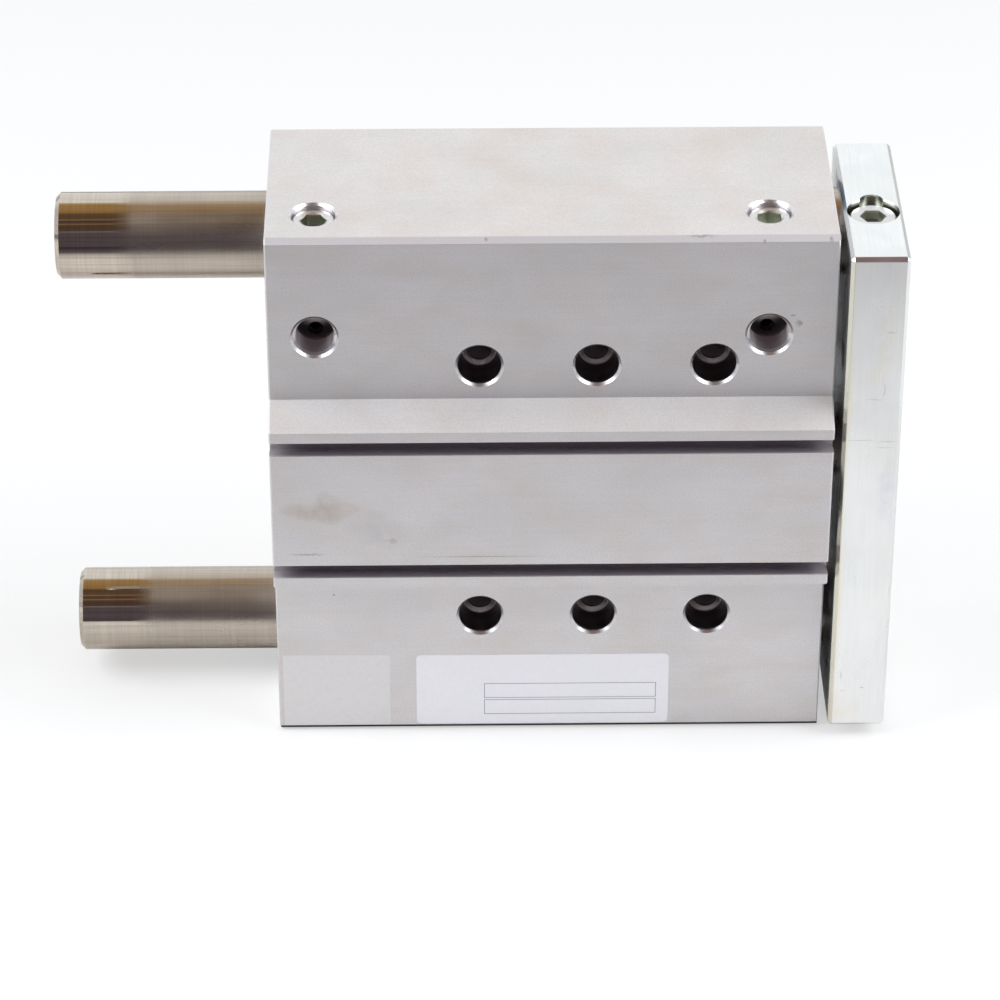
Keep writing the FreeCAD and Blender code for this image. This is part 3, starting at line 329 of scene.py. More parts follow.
def chamfer_share(tree, coords, across, at):
    """1 on a chamfer's flat, whose points lie at millimetres along the direction across it."""
    reach = add_node(tree, "ShaderNodeVectorMath", {
        0: coords, 1: across}, operation="DOT_PRODUCT")
    return add_node(tree, "ShaderNodeMath", {
        0: reach.outputs["Value"], 1: at * MM, 2: 0.3 * MM}, operation="COMPARE").outputs[0]


def slot_painted_shade(tree, coords):
    """Share of painted shade in the two sensor slots: 1 inside, fading in behind their lips and
    towards their lit ends.
    """
    half_width, floor, lit_end = 3.9, 16, 7
    axes = add_node(tree, "ShaderNodeSeparateXYZ", {0: coords}).outputs
    lift = add_node(tree, "ShaderNodeMath", {0: axes["Z"], 1: AXIS * MM}, operation="SUBTRACT")
    away = add_node(tree, "ShaderNodeMath", {0: lift.outputs[0]}, operation="ABSOLUTE")
    near = add_node(tree, "ShaderNodeMath", {
        0: away.outputs[0], 1: SLOT_RISE * MM, 2: half_width * MM}, operation="COMPARE")
    deep = add_node(tree, "ShaderNodeMapRange", {
        0: axes["Y"], 1: (BAND + 0.3) * MM, 2: (BAND + 1.2) * MM, 3: 0.0, 4: 1.0})
    middle = add_node(tree, "ShaderNodeMath", {0: axes["X"]}, operation="ABSOLUTE")
    inner = add_node(tree, "ShaderNodeMapRange", {
        0: middle.outputs[0], 1: FRONT * MM, 2: (FRONT - lit_end) * MM, 3: 0.35, 4: 1.0})
    front = add_node(tree, "ShaderNodeMath", {
        0: axes["Y"], 1: (BAND + floor) * MM}, operation="LESS_THAN")
    return within_all(tree, near.outputs[0], (deep, inner, front))


# Stains and nicks of use: centre and half size in millimetres, colour, share and raggedness.
HOUSING_MARKS = (
    ((83.6, WING, 168.6), (1.5, 3.0, 1.9), "9A8460", 0.65, 3.4),
    ((81.6, WING, 171.6), (0.9, 2.0, 0.6), "7D735F", 0.7, 1.8),
    ((-80.0, BAND, 101.5), (15.0, 3.0, 5.0), "BDB0A2", 0.50, 14.0),
    ((-84.0, BAND, 83.2), (7.5, 2.0, 0.55), "A3957C", 0.6, 1.6),
    ((-60.0, BAND, 93.0), (13.0, 3.0, 8.0), "CFCED3", 0.45, 14.0),
    ((-24.0, BAND, 81.9), (26.0, 2.0, 0.35), "A29E9B", 0.6, 0.5),
    ((-54.7, BAND, 88.6), (2.6, 2.0, 1.2), "B0ABA9", 0.5, 3.0),
    ((-75.9, WING, 62.0), (0.7, 2.0, 0.6), "77706A", 0.8, 0.8),
    ((-76.0, WING, 58.7), (0.6, 2.0, 0.5), "77706A", 0.8, 0.8),
    ((-22.2, WING + 1.0, 201.3), (0.7, 1.2, 0.7), "8B8683", 0.7, 0.8),
    ((50.0, WING + 1.6, 201.9), (6.0, 0.9, 0.6), "A09C9A", 0.7, 3.0),
    ((71.0, WING + 0.5, 200.4), (0.6, 1.4, 0.7), "827D7B", 0.8, 0.8),
    ((93.4, WING + 0.6, 200.8), (0.9, 1.2, 1.4), "9A9694", 0.7, 1.6),
)


def anodised_aluminium(finish):
    """Extruded, clear anodised aluminium: matte silver with faint die lines along its length,
    cloudy handling stains and a few nicks. Its drilled bores and slots are darkened with painted
    shade, with a painted highlight on the ring at the bottom of the fixing holes' recesses, and
    the freshly cut chamfers at their mouths are bright. Its upper front chamfer carries a painted
    reflection and its lower front chamfer a painted contact shadow."""
    material, tree, coords = new_material("anodised_aluminium")
    die_lines = grains(tree, coords, (60, 0.5, 0.5), 1.0, edges=(0.40, 0.62))
    faint_lines = grains(tree, coords, (60, 0.7, 0.7), 11.0, edges=(0.40, 0.62), reach=(0.0, 0.03))
    cloud = grains(tree, coords, (34, 26, 20), 3.0, reach=(0.0, 0.35), detail=3.0)
    warm = grains(tree, coords, (22, 20, 12), 8.0, edges=(0.45, 0.72), reach=(0.0, 0.35),
                  detail=4.0)
    speckle = grains(tree, coords, (0.55, 0.55, 0.55), 31.0, reach=(0.0, 0.26))
    hair = grains(tree, coords, (24, 0.7, 0.18), 2.0, edges=(0.71, 0.76), reach=(0.0, 0.35),
                  detail=1.0, turn=(0.3, 0.9, 0.6))
    blotch = grains(tree, coords, (1.6, 1.6, 1.2), 21.0, edges=(0.74, 0.80), reach=(0.0, 0.30),
                    detail=3.0)
    tint = layered(tree, finish.aluminium, (cloud, linear("D9DBDC")), (warm, linear("E2D9D1")),
                   (speckle, linear("C4C3C5")), (faint_lines, linear("AAA7A5")),
                   (hair, linear("C4C1BF")), (blotch, linear("B9B3AC")))
    # Painted reflection of the dark room on the upper front chamfer, in a darker bluish grey, and
    # a painted contact shadow in dark grey on the lower front chamfer.
    upper_chamfer_painted_reflection = chamfer_share(tree, coords, (0, 1, -1), WING - TOP + HOUSING_CHAMFER)
    upper_chamfer_painted_reflection = add_node(tree, "ShaderNodeMath", {
        0: upper_chamfer_painted_reflection, 1: 0.85}, operation="MULTIPLY").outputs[0]
    tint = layered(tree, tint, (upper_chamfer_painted_reflection, linear("DCDBE1")), (
        chamfer_share(tree, coords, (0, 1, 1), WING + HOUSING_CHAMFER), linear("4A4650")))
    tint = marked(tree, coords, tint, HOUSING_MARKS)
    cut = bore_share(tree, coords, FIXING_BORES + PORT_BORES, start=0.02, end=0.06,
                     radius=MOUTH_SHADE)
    # Painted shade inside the two sensor slots, then the bright cut mouths of the bores.
    tint = layered(tree, tint, (slot_painted_shade(tree, coords), linear("BDB8BF")),
                   (cut, linear("E4E4E8")))
    # Painted shade on the port and fixing hole walls, a painted highlight on the ring at the
    # bottom of the fixing holes' recesses, and darker painted shade deeper in the holes.
    for bores, start, end, radius, code in (
            (PORT_BORES, 0.7, 2.5, RECESS_SHADE, "B9B2B2"),
            (FIXING_BORES, 0.7, 2.0, RECESS_SHADE, "767071"),
            (FIXING_BORES, 9.8, 9.9, INNER_SHADE, "E8E4E2"),
            (FIXING_BORES, 11.1, 11.3, INNER_SHADE, "666162")):
        tint = layered(tree, tint, (
            bore_share(tree, coords, bores, start, end, radius), linear(code)))
    grain = grains(tree, coords, (0.35, 0.35, 0.35), 5.0, edges=EVEN, reach=(0.54, 0.62))
    rough = add_node(tree, "ShaderNodeMix", {0: cut, 2: grain, 3: 0.30})
    surface(tree, tint, 1.0, rough.outputs[0], die_lines, strength=0.02)
    return material


def turned_aluminium(finish):
    """Lathe turned aluminium: rings round the cylinder axis, brighter than the housing. The rings
    lie 2.8 mm apart, coarser than the real ones, so that they show."""
    material, tree, coords = new_material("turned_aluminium")
    centred = add_node(tree, "ShaderNodeMapping", {
        "Vector": coords, "Location": (0, 0, -AXIS * MM)})
    rings = add_node(tree, "ShaderNodeTexWave", {
        "Vector": centred.outputs[0], "Scale": 1 / (9 * MM), "Distortion": 0.6, "Detail": 2.0},
        wave_type="RINGS", rings_direction="X").outputs[1]
    cloud = grains(tree, coords, (14, 14, 14), 2.0, reach=(0.0, 0.25))
    rough = add_node(tree, "ShaderNodeMapRange", {0: rings, 1: 0.0, 2: 1.0, 3: 0.28, 4: 0.38})
    surface(tree, layered(tree, finish.turned, (cloud, linear("9EA0A4"))), 1.0, rough.outputs[0],
            rings, strength=0.15)
    return material


def ground_chrome(finish):
    """Ground, hard chromed steel: satin from fine grinding rings and an oily film where it slides,
    and still a crisp mirror near its free end. Amber and brown lines along its length are painted
    reflections of warm surroundings."""
    mirror_end, satin_start = TAIL + 19, TAIL + 27
    material, tree, coords = new_material("ground_hard_chrome")
    rings = grains(tree, coords, (0.5, 60, 60), 1.0, edges=EVEN)
    amber_painted_reflection = grains(tree, coords, (90, 0.45, 0.45), 14.0, edges=(0.40, 0.65), reach=(0.0, 0.30),
                    detail=3.0)
    brown_painted_reflection = grains(tree, coords, (70, 0.7, 0.7), 4.0, edges=(0.50, 0.62), reach=(0.0, 0.42),
                     detail=3.0)
    bands = grains(tree, coords, (5, 80, 80), 9.0, edges=(0.40, 0.65), reach=(0.0, 0.30))
    fine_rings = grains(tree, coords, (0.7, 30, 30), 13.0, edges=(0.40, 0.65), reach=(0.0, 0.30))
    along = add_node(tree, "ShaderNodeSeparateXYZ", {0: coords}).outputs["X"]
    worn = add_node(tree, "ShaderNodeMapRange", {
        0: along, 1: mirror_end * MM, 2: satin_start * MM, 3: 0.0, 4: 1.0}).outputs[0]
    uneven = grains(tree, coords, (30, 9, 9), 6.0, reach=(0.27, 0.33), detail=3.0)
    rough = add_node(tree, "ShaderNodeMix", {0: worn, 2: 0.07, 3: uneven}).outputs[0]
    film = add_node(tree, "ShaderNodeMath", {0: worn, 1: 0.55}, operation="MULTIPLY").outputs[0]
    tint = layered(tree, finish.chrome, (film, linear("B9B2A9")), (amber_painted_reflection, linear("C2B49F")),
                   (brown_painted_reflection, linear("A3968A")), (bands, linear("B5ABA0")),
                   (fine_rings, linear("ACA398")))
    surface(tree, tint, 1.0, rough, rings, strength=0.10, depth=0.01)
    return material


# Scuffs and tints of the plate's front edge: centre and half size in millimetres, colour, share
# and raggedness.
PLATE_MARKS = (
    ((101.2, PLATE_FORE, 140.0), (1.6, 2.0, 40.0), "F2E9C6", 0.45, 2.0),
    ((101.2, PLATE_FORE, 60.0), (1.6, 2.0, 44.0), "F2E9C6", 0.45, 2.0),
    ((104.0, PLATE_FORE, 14.0), (7.0, 2.0, 9.0), "F4ECD2", 0.45, 9.0),
    ((112.0, PLATE_FORE, 158.0), (4.0, 2.0, 22.0), "F1EDD6", 0.30, 9.0),
    ((116.5, PLATE_FORE, 104.0), (3.0, 2.0, 20.0), "DFE4F6", 0.45, 9.0),
    ((106.0, PLATE_FORE, 125.6), (6.0, 2.0, 0.22), "9CA09E", 0.5, 0.6),
    ((115.0, PLATE_FORE, 125.0), (4.5, 2.0, 0.22), "9CA09E", 0.5, 0.6),
    ((114.0, PLATE_FORE, 122.6), (4.0, 2.0, 0.2), "A4A8A6", 0.5, 0.6),
    ((103.6, PLATE_FORE, 27.0), (0.3, 2.0, 2.4), "8F9390", 0.6, 2.4),
    ((104.2, PLATE_FORE, 20.0), (1.6, 2.0, 0.25), "9A9E9B", 0.6, 2.4),
    ((111.0, PLATE_FORE, 21.5), (1.0, 2.0, 0.3), "7F8382", 0.7, 1.6),
    ((113.0, PLATE_FORE, 146.0), (0.3, 2.0, 3.4), "969A98", 0.5, 2.4),
    ((110.0, PLATE_FORE, 142.0), (3.4, 2.0, 0.25), "969A98", 0.5, 2.4),
    ((114.5, PLATE_FORE, 168.5), (2.4, 2.0, 0.25), "8C8F90", 0.6, 0.8),
)


def bright_zinc(finish):
    """Rolled steel with bright blue zinc: milky silver with faint straw and blue tints in clouds,
    brushed lines along its height and hair scuffs."""
    material, tree, coords = new_material("bright_zinc_plate")
    cloud = grains(tree, coords, (20, 20, 34), 2.0, reach=(0.0, 0.4), detail=3.0)
    straw = grains(tree, coords, (9, 12, 30), 7.0, edges=(0.50, 0.75), reach=(0.0, 0.25),
                   detail=3.0)
    blue = grains(tree, coords, (12, 14, 22), 17.0, edges=(0.50, 0.75), reach=(0.0, 0.35),
                  detail=3.0)
    hair = grains(tree, coords, (0.9, 12, 0.25), 3.0, edges=(0.80, 0.84), reach=(0.0, 0.25),
                  detail=1.0, turn=(0.8, 0.4, 1.9))
    brushed = grains(tree, coords, (0.5, 20, 26), 23.0, edges=(0.40, 0.65), reach=(0.0, 0.25),
                     detail=3.0)
    grain = grains(tree, coords, (0.5, 0.5, 3.0), 5.0, edges=EVEN)
    tint = layered(tree, finish.zinc, (cloud, linear("EAF1F3")), (straw, linear("F6F2DE")),
                   (blue, linear("E3EAF3")), (brushed, linear("E2E8E8")),
                   (hair, linear("B4B6B0")))
    tint = marked(tree, coords, tint, PLATE_MARKS)
    # The top front chamfer's mauve grey is a painted reflection of the dark room; the left front
    # chamfer gets a pale yellow tint.
    for across, at, code in (((0, 1, -1), PLATE_FORE - PLATE_HEAD, "D2C8D0"),
                             ((1, 1, 0), PLATE_FORE + PLATE_INNER, "E6E6D8")):
        tint = layered(tree, tint, (
            chamfer_share(tree, coords, across, at + PLATE_CHAMFER), linear(code)))
    # Painted shade in the lock screw recesses and the staking notches.
    for bores, radius in ((LOCK_RECESSES, LOCK_SHADE), (STAKING_NOTCHES, NOTCH_SHADE)):
        tint = layered(tree, tint, (
            bore_share(tree, coords, bores, 0.4, 0.9, radius), linear("B2B4AB")))
    rough = grains(tree, coords, (20, 20, 34), 2.0, edges=EVEN, reach=(0.24, 0.30))
    surface(tree, tint, 1.0, rough, grain, strength=0.05)
    return material


def plated_screw(finish):
    """Turned steel with bright zinc: whitish silver, a little milky, with painted shade in its
    socket."""
    material, tree, coords = new_material("zinc_plated_screw")
    milky = grains(tree, coords, (3, 3, 3), 2.0, reach=(0.0, 0.5), detail=3.0)
    rough = grains(tree, coords, (0.6, 0.6, 0.6), 6.0, edges=EVEN, reach=(0.28, 0.34))
    # The darker tint in the socket is painted shade.
    tint = layered(tree, finish.screw, (milky, linear("D9DBDA")), (
        bore_share(tree, coords, SOCKETS, 0.3, 1.2, SOCKET_SHADE), linear("B0B3A8")))
    surface(tree, tint, 1.0, rough, milky, strength=0.05)
    return material


def plain_finish(name, tint, dark, size, rough, metallic, relief):
    """A fine grained finish in two tones, with grains of size millimetres and a fifth of that."""
    material, tree, coords = new_material(name)
    share = grains(tree, coords, (size,) * 3, 2.0, detail=3.0)
    fine = grains(tree, coords, (size * 0.2,) * 3, 6.0, edges=EVEN)
    glint = add_node(tree, "ShaderNodeMapRange", {
        0: fine, 1: 0.0, 2: 1.0, 3: rough - 0.04, 4: rough + 0.04})
    surface(tree, layered(tree, tint, (share, linear(dark))), metallic, glint.outputs[0], fine,
            relief, depth=0.05)
    return material


def label_film(finish, label):
    """Satin vinyl film, printed with two empty ruled fields, one above the other."""
    material, tree, coords = new_material("white_label_film")
    axes = add_node(tree, "ShaderNodeSeparateXYZ", {0: coords}).outputs
    fibre = grains(tree, coords, (1.2, 1.2, 1.2), 2.0, edges=EVEN, reach=(0.0, 0.25))
    sides = [REAR * MM + label.label_start + label.label_width * share for share in (0.27, 0.95)]
    rows = [label.label_rise + label.label_height * share for share in (0.14, 0.345, 0.375, 0.58)]
    line = 0.12 * MM
    rules = [("Z", row, "X", *sides) for row in rows]
    rules += [("X", side, "Z", *field) for field in (rows[:2], rows[2:]) for side in sides]
    ruled = 0.0
    for axis, at, other, low, high in rules:
        on = add_node(tree, "ShaderNodeMath", {
            0: axes[axis], 1: at, 2: line}, operation="COMPARE")
        span = add_node(tree, "ShaderNodeMath", {
            0: axes[other], 1: (low + high) / 2, 2: (high - low) / 2 + line}, operation="COMPARE")
        both = add_node(tree, "ShaderNodeMath", {
            0: on.outputs[0], 1: span.outputs[0]}, operation="MULTIPLY")
        ruled = add_node(tree, "ShaderNodeMath", {
            0: both.outputs[0], 1: ruled}, operation="MAXIMUM").outputs[0]
    tint = layered(tree, finish.label, (fibre, linear("E0E0EA")), (ruled, finish.ink))
    surface(tree, tint, 0.0, 0.42)
    return material


# ---------------------------------------------------------------- modelling

INTO_Y = Matrix.Rotation(-math.pi / 2, 4, "X")
INTO_X = Matrix.Rotation(math.pi / 2, 4, "Y")


def clear_selection():
    """Leave edit mode and deselect everything."""
    if bpy.context.object and bpy.context.object.mode != "OBJECT":
        bpy.ops.object.mode_set(mode="OBJECT")
    bpy.ops.object.select_all(action="DESELECT")


def settle(piece, name, material, body):
    """Apply the piece's place to its mesh, name and dress it, and let it ride."""
    clear_selection()
    bpy.context.view_layer.objects.active = piece
    piece.select_set(True)
    bpy.ops.object.transform_apply(location=True, rotation=True, scale=True)
    piece.name = piece.data.name = name
    piece.data.materials.clear()
    piece.data.materials.append(material)
    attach(piece, body)


def rounded_sheet(start, width, height, thickness, corner):
    """A thin sheet with round corners on a face that looks along -Y; start is its lower left
    corner."""
    clear_selection()
    bpy.ops.mesh.primitive_plane_add(size=1, location=(0, 0, 0))
    sheet = bpy.context.object
    sheet.scale = (width, height, 1)
    bpy.ops.object.transform_apply(location=False, rotation=False, scale=True)
    bpy.ops.object.mode_set(mode="EDIT")
    bpy.ops.mesh.select_all(action="SELECT")
    bpy.ops.mesh.bevel(offset=corner, segments=8, affect="VERTICES")
    bpy.ops.mesh.select_all(action="SELECT")
    bpy.ops.mesh.extrude_region_move(TRANSFORM_OT_translate={"value": (0, 0, thickness)})
    bpy.ops.mesh.select_all(action="SELECT")
    bpy.ops.mesh.normals_make_consistent(inside=False)
    bpy.ops.object.mode_set(mode="OBJECT")
    sheet.rotation_euler = (math.pi / 2, 0, 0)
    sheet.location = start + Vector((width / 2, 0, height / 2))
    return sheet


def thread_ridge(core, ridge, pitch, count):
    """A helical, three-cornered ridge of count turns along local Z from the object's origin,
    standing into a hole of that core radius."""
    clear_selection()
    bpy.ops.mesh.primitive_circle_add(vertices=3, radius=ridge, location=(0, 0, 0))
    coil = bpy.context.object
    bpy.ops.object.mode_set(mode="EDIT")
    bpy.ops.mesh.select_all(action="SELECT")
    bpy.ops.transform.rotate(value=math.pi / 2, orient_axis="X", center_override=(0, 0, 0))
    bpy.ops.transform.rotate(value=-math.pi / 2, orient_axis="Y", center_override=(0, 0, 0))
    # The ridge's flat side goes just behind the wall of the hole.
    bpy.ops.transform.translate(value=(core - ridge * 0.45, 0, 0))
    bpy.ops.object.mode_set(mode="OBJECT")
    screw = coil.modifiers.new("Turns", "SCREW")
    screw.axis = "Z"
    screw.angle = 2 * math.pi
    screw.screw_offset = pitch
    screw.iterations = count
    screw.steps = screw.render_steps = 36
    bpy.ops.object.modifier_apply(modifier="Turns")
    bpy.ops.object.mode_set(mode="EDIT")
    bpy.ops.mesh.select_all(action="SELECT")
    bpy.ops.mesh.fill_holes(sides=4)
    bpy.ops.mesh.select_all(action="SELECT")
    bpy.ops.mesh.normals_make_consistent(inside=False)
    bpy.ops.object.mode_set(mode="OBJECT")
    bpy.ops.object.shade_smooth_by_angle(angle=math.radians(40))
    return coil


def repeated(model, places, turn):
    """The model copied to each place, in millimetres, each copy with its own mesh, and all joined
    to one object."""
    copies = []
    for place in places:
        copy = model.copy()
        copy.data = model.data.copy()
        bpy.context.scene.collection.objects.link(copy)
        copy.matrix_world = Matrix.Translation(Vector(place) * MM) @ turn
        copies.append(copy)
    bpy.data.objects.remove(model)
    clear_selection()
    for copy in copies:
        copy.select_set(True)
    bpy.context.view_layer.objects.active = copies[0]
    bpy.ops.object.transform_apply(location=True, rotation=True, scale=True)
    bpy.ops.object.join()
    return copies[0]


# ---------------------------------------------------------------- operators

class CYLINDER_OT_finish_nodes(bpy.types.Operator):
    """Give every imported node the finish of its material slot"""
    bl_idname = "cylinder.finish_nodes"
    bl_label = "Finish the packed nodes"

    def execute(self, context):
        finish = context.scene.cylinder_finish
        # Name, two tones, grain in millimetres, roughness, metallic and strength of the relief.
        finishes = {
            "housing_aluminium": anodised_aluminium(finish),
            "cap_aluminium": turned_aluminium(finish),
            "rod_chrome": ground_chrome(finish),
            "yoke_zinc": bright_zinc(finish),
            "screw_zinc": plated_screw(finish),
            # Phosphated spring steel: nearly black, slightly oily.
            "ring_steel": plain_finish(
                "phosphated_spring_steel", finish.spring, "38383A", 1.0, 0.38, 1.0, 0.3),
            # Sintered bronze: warm, fine grained and oil soaked.
            "bush_bronze": plain_finish(
                "sintered_bronze", finish.bronze, "8F6C3C", 0.8, 0.42, 1.0, 0.4),
            # Moulded nitrile rubber: soft black sheen.
            "seal_rubber": plain_finish(
                "nitrile_rubber", finish.rubber, "2A2A2B", 1.5, 0.55, 0.0, 0.2),
            # Moulded polyurethane: smooth and slightly waxy.
            "wiper_polyurethane": plain_finish(
                "polyurethane", finish.urethane, "27435A", 3.0, 0.40, 0.0, 0.1),
            # Machined acetal: ivory and satin.
            "wear_plastic": plain_finish(
                "acetal", finish.acetal, "CBC4B3", 3.0, 0.45, 0.0, 0.1),
            # Sintered ferrite: dark grey ceramic.
            "magnet_ferrite": plain_finish(
                "sintered_ferrite", finish.ferrite, "2F2F31", 0.6, 0.5, 0.0, 0.3),
        }
        for name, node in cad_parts.items():
            slot = node.data.materials[0].name
            if slot not in finishes:
                raise RuntimeError(f"{name} has no finish for its slot {slot}")
            node.material_slots[0].material = finishes[slot]
        return {"FINISHED"}


class CYLINDER_OT_port_threads(bpy.types.Operator):
    """Pipe threads in both face ports"""
    bl_idname = "cylinder.port_threads"
    bl_label = "Air port threads"

    def execute(self, context):
        thread = context.scene.cylinder_thread
        model = thread_ridge(PORT_CORE * MM, thread.port_ridge, thread.port_pitch,
                             thread.port_turns)
        places = [(x, WING + thread.port_start / MM, AXIS + PORT_RISE) for x in PORTS]
        settle(repeated(model, places, INTO_Y), "port_threads",
               bpy.data.materials["anodised_aluminium"], "housing_body")
        return {"FINISHED"}


class CYLINDER_OT_hole_threads(bpy.types.Operator):
    """Threads of the housing's six fixing holes, behind their recesses and at the back"""
    bl_idname = "cylinder.hole_threads"
    bl_label = "Fixing hole threads"

    def execute(self, context):
        thread = context.scene.cylinder_thread
        model = thread_ridge(HOLE_CORE * MM, thread.hole_ridge, thread.hole_pitch,
                             thread.hole_turns)
        starts = (WING + thread.hole_start / MM, -BAND - thread.hole_end / MM)
        places = [(x, y, z) for x in HOLE_COLUMNS for y in starts for z in HOLE_ROWS]
        settle(repeated(model, places, INTO_Y), "fixing_hole_threads",
               bpy.data.materials["anodised_aluminium"], "housing_body")
        return {"FINISHED"}


class CYLINDER_OT_plate_threads(bpy.types.Operator):
    """Threads of the yoke plate's four holes"""
    bl_idname = "cylinder.plate_threads"
    bl_label = "Plate threads"

    def execute(self, context):
        thread = context.scene.cylinder_thread
        model = thread_ridge(HOLE_CORE * MM, thread.hole_ridge, thread.hole_pitch,
                             thread.plate_turns)
        places = [(PLATE_INNER + thread.plate_start / MM, y, z)
                  for y in (-PLATE_HOLE_REACH, PLATE_HOLE_REACH) for z in HOLE_ROWS]
        settle(repeated(model, places, INTO_X), "plate_threads",
               bpy.data.materials["bright_zinc_plate"], "carriage")
        return {"FINISHED"}


class CYLINDER_OT_blank_labels(bpy.types.Operator):
    """Blank white label and blank silver foil on the lower wing"""
    bl_idname = "cylinder.blank_labels"
    bl_label = "Blank labels"

    def execute(self, context):
        finish, label = context.scene.cylinder_finish, context.scene.cylinder_label
        rear = Vector((REAR * MM, WING * MM, HOUSING[0].z))
        paper = rounded_sheet(rear + Vector((label.label_start, 0, label.label_rise)),
                              label.label_width, label.label_height, label.label_film,
                              label.label_corner)
        settle(paper, "blank_label", label_film(finish, label), "housing_body")
        foil = rounded_sheet(rear + Vector((label.foil_start, 0, label.foil_rise)),
                             label.foil_width, label.foil_height, label.foil_film,
                             label.foil_corner)
        # Silver polyester foil: even satin grey, lighter than the metal under it.
        satin = plain_finish("silver_foil", finish.foil, "E9EAEC", 2.0, 0.56, 1.0, 0.03)
        settle(foil, "blank_foil", satin, "housing_body")
        return {"FINISHED"}


# The metal's picture of the room: degrees above the horizon in front, and the colour there. A
# dark room with a pale beam, a brown and amber ceiling, and the white backdrop; None is the
# colour of the dark room.
ROOM = ((-180, "FFFFFF"), (-91, "FFFFFF"), (-89, None), (36, None), (38, "94888A"),
        (40, "5A483F"), (56, "5A483F"), (58, "A58252"), (61, "5A483F"), (68, "5A483F"),
        (70, "A58252"), (73, "64503F"), (88, "6E5640"), (92, "A58252"), (120, "B89868"),
        (128, "FFFFFF"), (180, "FFFFFF"))
# Where the lit table ends towards the front, and how far aside the pale walls start, from none to
# full: metres along Y, and the sideways part of a direction.
TABLE_END = (-0.66, -0.18)
WALL_START = (0.55, 0.85)


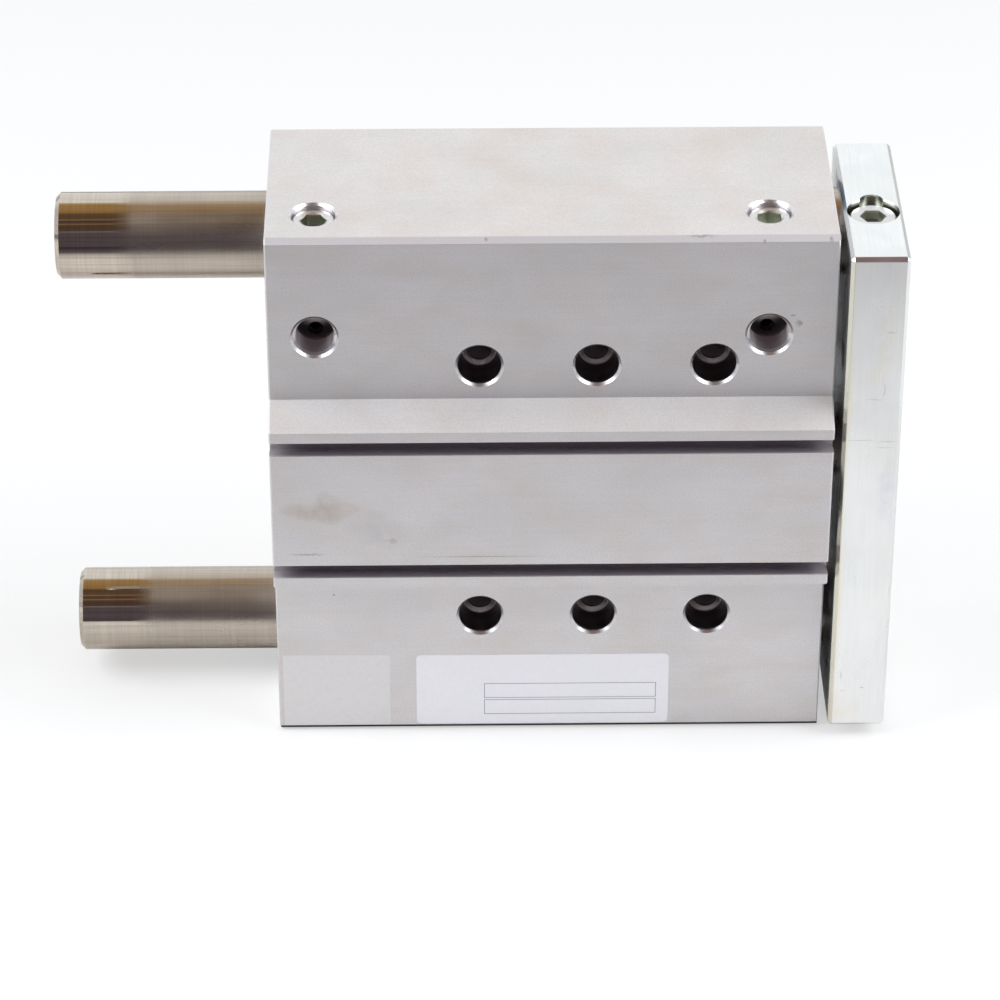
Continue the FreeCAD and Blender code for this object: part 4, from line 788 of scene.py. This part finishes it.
class CYLINDER_OT_studio(bpy.types.Operator):
    """White table, soft lamps, the room that the metal shows and the camera"""
    bl_idname = "cylinder.studio"
    bl_label = "Studio"

    def execute(self, context):
        scene, studio = context.scene, context.scene.cylinder_studio
        scene.view_settings.view_transform = "Standard"
        clear_selection()
        bpy.ops.mesh.primitive_plane_add(size=studio.table_size, location=(0, 0, 0))
        floor = bpy.context.object
        floor.name = "table"
        floor.data.materials.append(self.table(studio))
        aside, fore, rise = studio.lamp_place
        self.lamp("side_lamp_left", (-aside, fore, rise), studio)
        self.lamp("side_lamp_right", (aside, fore, rise), studio)
        self.surroundings(scene, studio)
        camera = bpy.data.cameras.new("camera")
        camera.lens = studio.camera_lens
        seat = bpy.data.objects.new("camera", camera)
        seat.location = studio.camera_place
        seat.rotation_euler = (math.pi / 2 - studio.camera_pitch, 0, -studio.camera_turn)
        scene.collection.objects.link(seat)
        scene.camera = seat
        return {"FINISHED"}

    def table(self, studio):
        """Matte white table: white to the camera apart from its shadows, and to the metal a lit
        table that ends in a dark room towards the front."""
        material, tree, coords = new_material("matte_white_table")
        depth = add_node(tree, "ShaderNodeSeparateXYZ", {0: coords}).outputs["Y"]
        lit = add_node(tree, "ShaderNodeMapRange", {
            0: depth, 1: TABLE_END[0], 2: TABLE_END[1], 3: 0.0, 4: 1.0},
            interpolation_type="SMOOTHSTEP").outputs[0]
        shown = layered(tree, studio.dark_room, (lit, studio.table_shine))
        rays = add_node(tree, "ShaderNodeLightPath").outputs
        matte = add_node(tree, "ShaderNodeBsdfDiffuse", {
            "Color": layered(tree, studio.table, (rays["Is Glossy Ray"], shown))})
        white = add_node(tree, "ShaderNodeEmission", {
            "Color": linear("FFFFFF"), "Strength": 1.0})
        share = add_node(tree, "ShaderNodeMath", {
            0: rays["Is Camera Ray"], 1: 0.5}, operation="MULTIPLY")
        blend = add_node(tree, "ShaderNodeMixShader", {
            0: share.outputs[0], 1: matte.outputs[0], 2: white.outputs[0]})
        add_node(tree, "ShaderNodeOutputMaterial", {"Surface": blend.outputs[0]})
        return material

    def lamp(self, name, place, studio):
        """A square soft lamp that looks at the middle of the housing."""
        lamp = bpy.data.lights.new(name, "AREA")
        lamp.shape = "SQUARE"
        lamp.size = studio.lamp_size
        lamp.energy = studio.lamp_power
        lamp.color = studio.lamp_colour
        stand = bpy.data.objects.new(name, lamp)
        stand.location = place
        aim = Vector((0, 0, AXIS * MM)) - Vector(place)
        stand.rotation_euler = aim.to_track_quat("-Z", "Y").to_euler()
        bpy.context.scene.collection.objects.link(stand)

    def surroundings(self, scene, studio):
        """White to the camera and even to matte surfaces. The metal shows a white backdrop
        behind, a warm ceiling, pale side walls and a dark room in front."""
        world = bpy.data.worlds.new("studio_room")
        scene.world = world
        world.use_nodes = True
        tree = world.node_tree
        tree.nodes.clear()
        way = add_node(tree, "ShaderNodeTexCoord").outputs["Generated"]
        axes = add_node(tree, "ShaderNodeSeparateXYZ", {0: way}).outputs
        front = add_node(tree, "ShaderNodeMath", {
            0: axes["Y"], 1: -1.0}, operation="MULTIPLY").outputs[0]
        angle = add_node(tree, "ShaderNodeMath", {
            0: axes["Z"], 1: front}, operation="ARCTAN2").outputs[0]
        share = add_node(tree, "ShaderNodeMapRange", {
            0: angle, 1: -math.pi, 2: math.pi, 3: 0.0, 4: 1.0}).outputs[0]
        room = add_node(tree, "ShaderNodeValToRGB", {0: share})
        stops = room.color_ramp.elements
        for degrees, _ in ROOM[2:]:
            stops.new(0.5 + degrees / 360)
        for stop, (degrees, code) in zip(stops, ROOM):
            stop.position = 0.5 + degrees / 360
            stop.color = linear(code) if code else studio.dark_room
        aside = add_node(tree, "ShaderNodeMath", {0: axes["X"]}, operation="ABSOLUTE").outputs[0]
        walled = add_node(tree, "ShaderNodeMapRange", {
            0: aside, 1: WALL_START[0], 2: WALL_START[1], 3: 0.0, 4: 1.0},
            interpolation_type="SMOOTHSTEP").outputs[0]
        rays = add_node(tree, "ShaderNodeLightPath").outputs
        shown = layered(tree, room.outputs[0], (walled, studio.wall))
        seen = layered(tree, studio.even_light, (rays["Is Glossy Ray"], shown),
                       (rays["Is Camera Ray"], linear("FFFFFF")))
        sky = add_node(tree, "ShaderNodeBackground", {"Color": seen, "Strength": 1.0})
        add_node(tree, "ShaderNodeOutputWorld", {"Surface": sky.outputs[0]})


# ---------------------------------------------------------------- add-on

OPERATORS = (CYLINDER_OT_finish_nodes, CYLINDER_OT_port_threads, CYLINDER_OT_hole_threads,
             CYLINDER_OT_plate_threads, CYLINDER_OT_blank_labels, CYLINDER_OT_studio)
GROUPS = {"cylinder_finish": FinishSettings, "cylinder_thread": ThreadSettings,
          "cylinder_label": LabelSettings, "cylinder_studio": StudioSettings}


class CYLINDER_PT_sidebar(bpy.types.Panel):
    """Settings and pieces of the guided cylinder"""
    bl_idname = "CYLINDER_PT_sidebar"
    bl_label = "Guided cylinder"
    bl_space_type = "VIEW_3D"
    bl_region_type = "UI"
    bl_category = "Cylinder"

    def draw(self, context):
        layout = self.layout
        for operator in OPERATORS:
            layout.operator(operator.bl_idname)
        for group in GROUPS:
            box = layout.box()
            settings = getattr(context.scene, group)
            for name in settings.__annotations__:
                box.prop(settings, name)


def register():
    for cls in (*GROUPS.values(), *OPERATORS, CYLINDER_PT_sidebar):
        bpy.utils.register_class(cls)
    for name, cls in GROUPS.items():
        setattr(bpy.types.Scene, name, PointerProperty(type=cls))


def unregister():
    for name in GROUPS:
        delattr(bpy.types.Scene, name)
    for cls in (CYLINDER_PT_sidebar, *reversed(OPERATORS), *reversed(GROUPS.values())):
        bpy.utils.unregister_class(cls)


def main():
    """Register the add-on and run each of its operators, which dress the cylinder."""
    register()
    for operator in OPERATORS:
        group, name = operator.bl_idname.split(".")
        getattr(getattr(bpy.ops, group), name)()


if __name__ == "__main__":
    main()
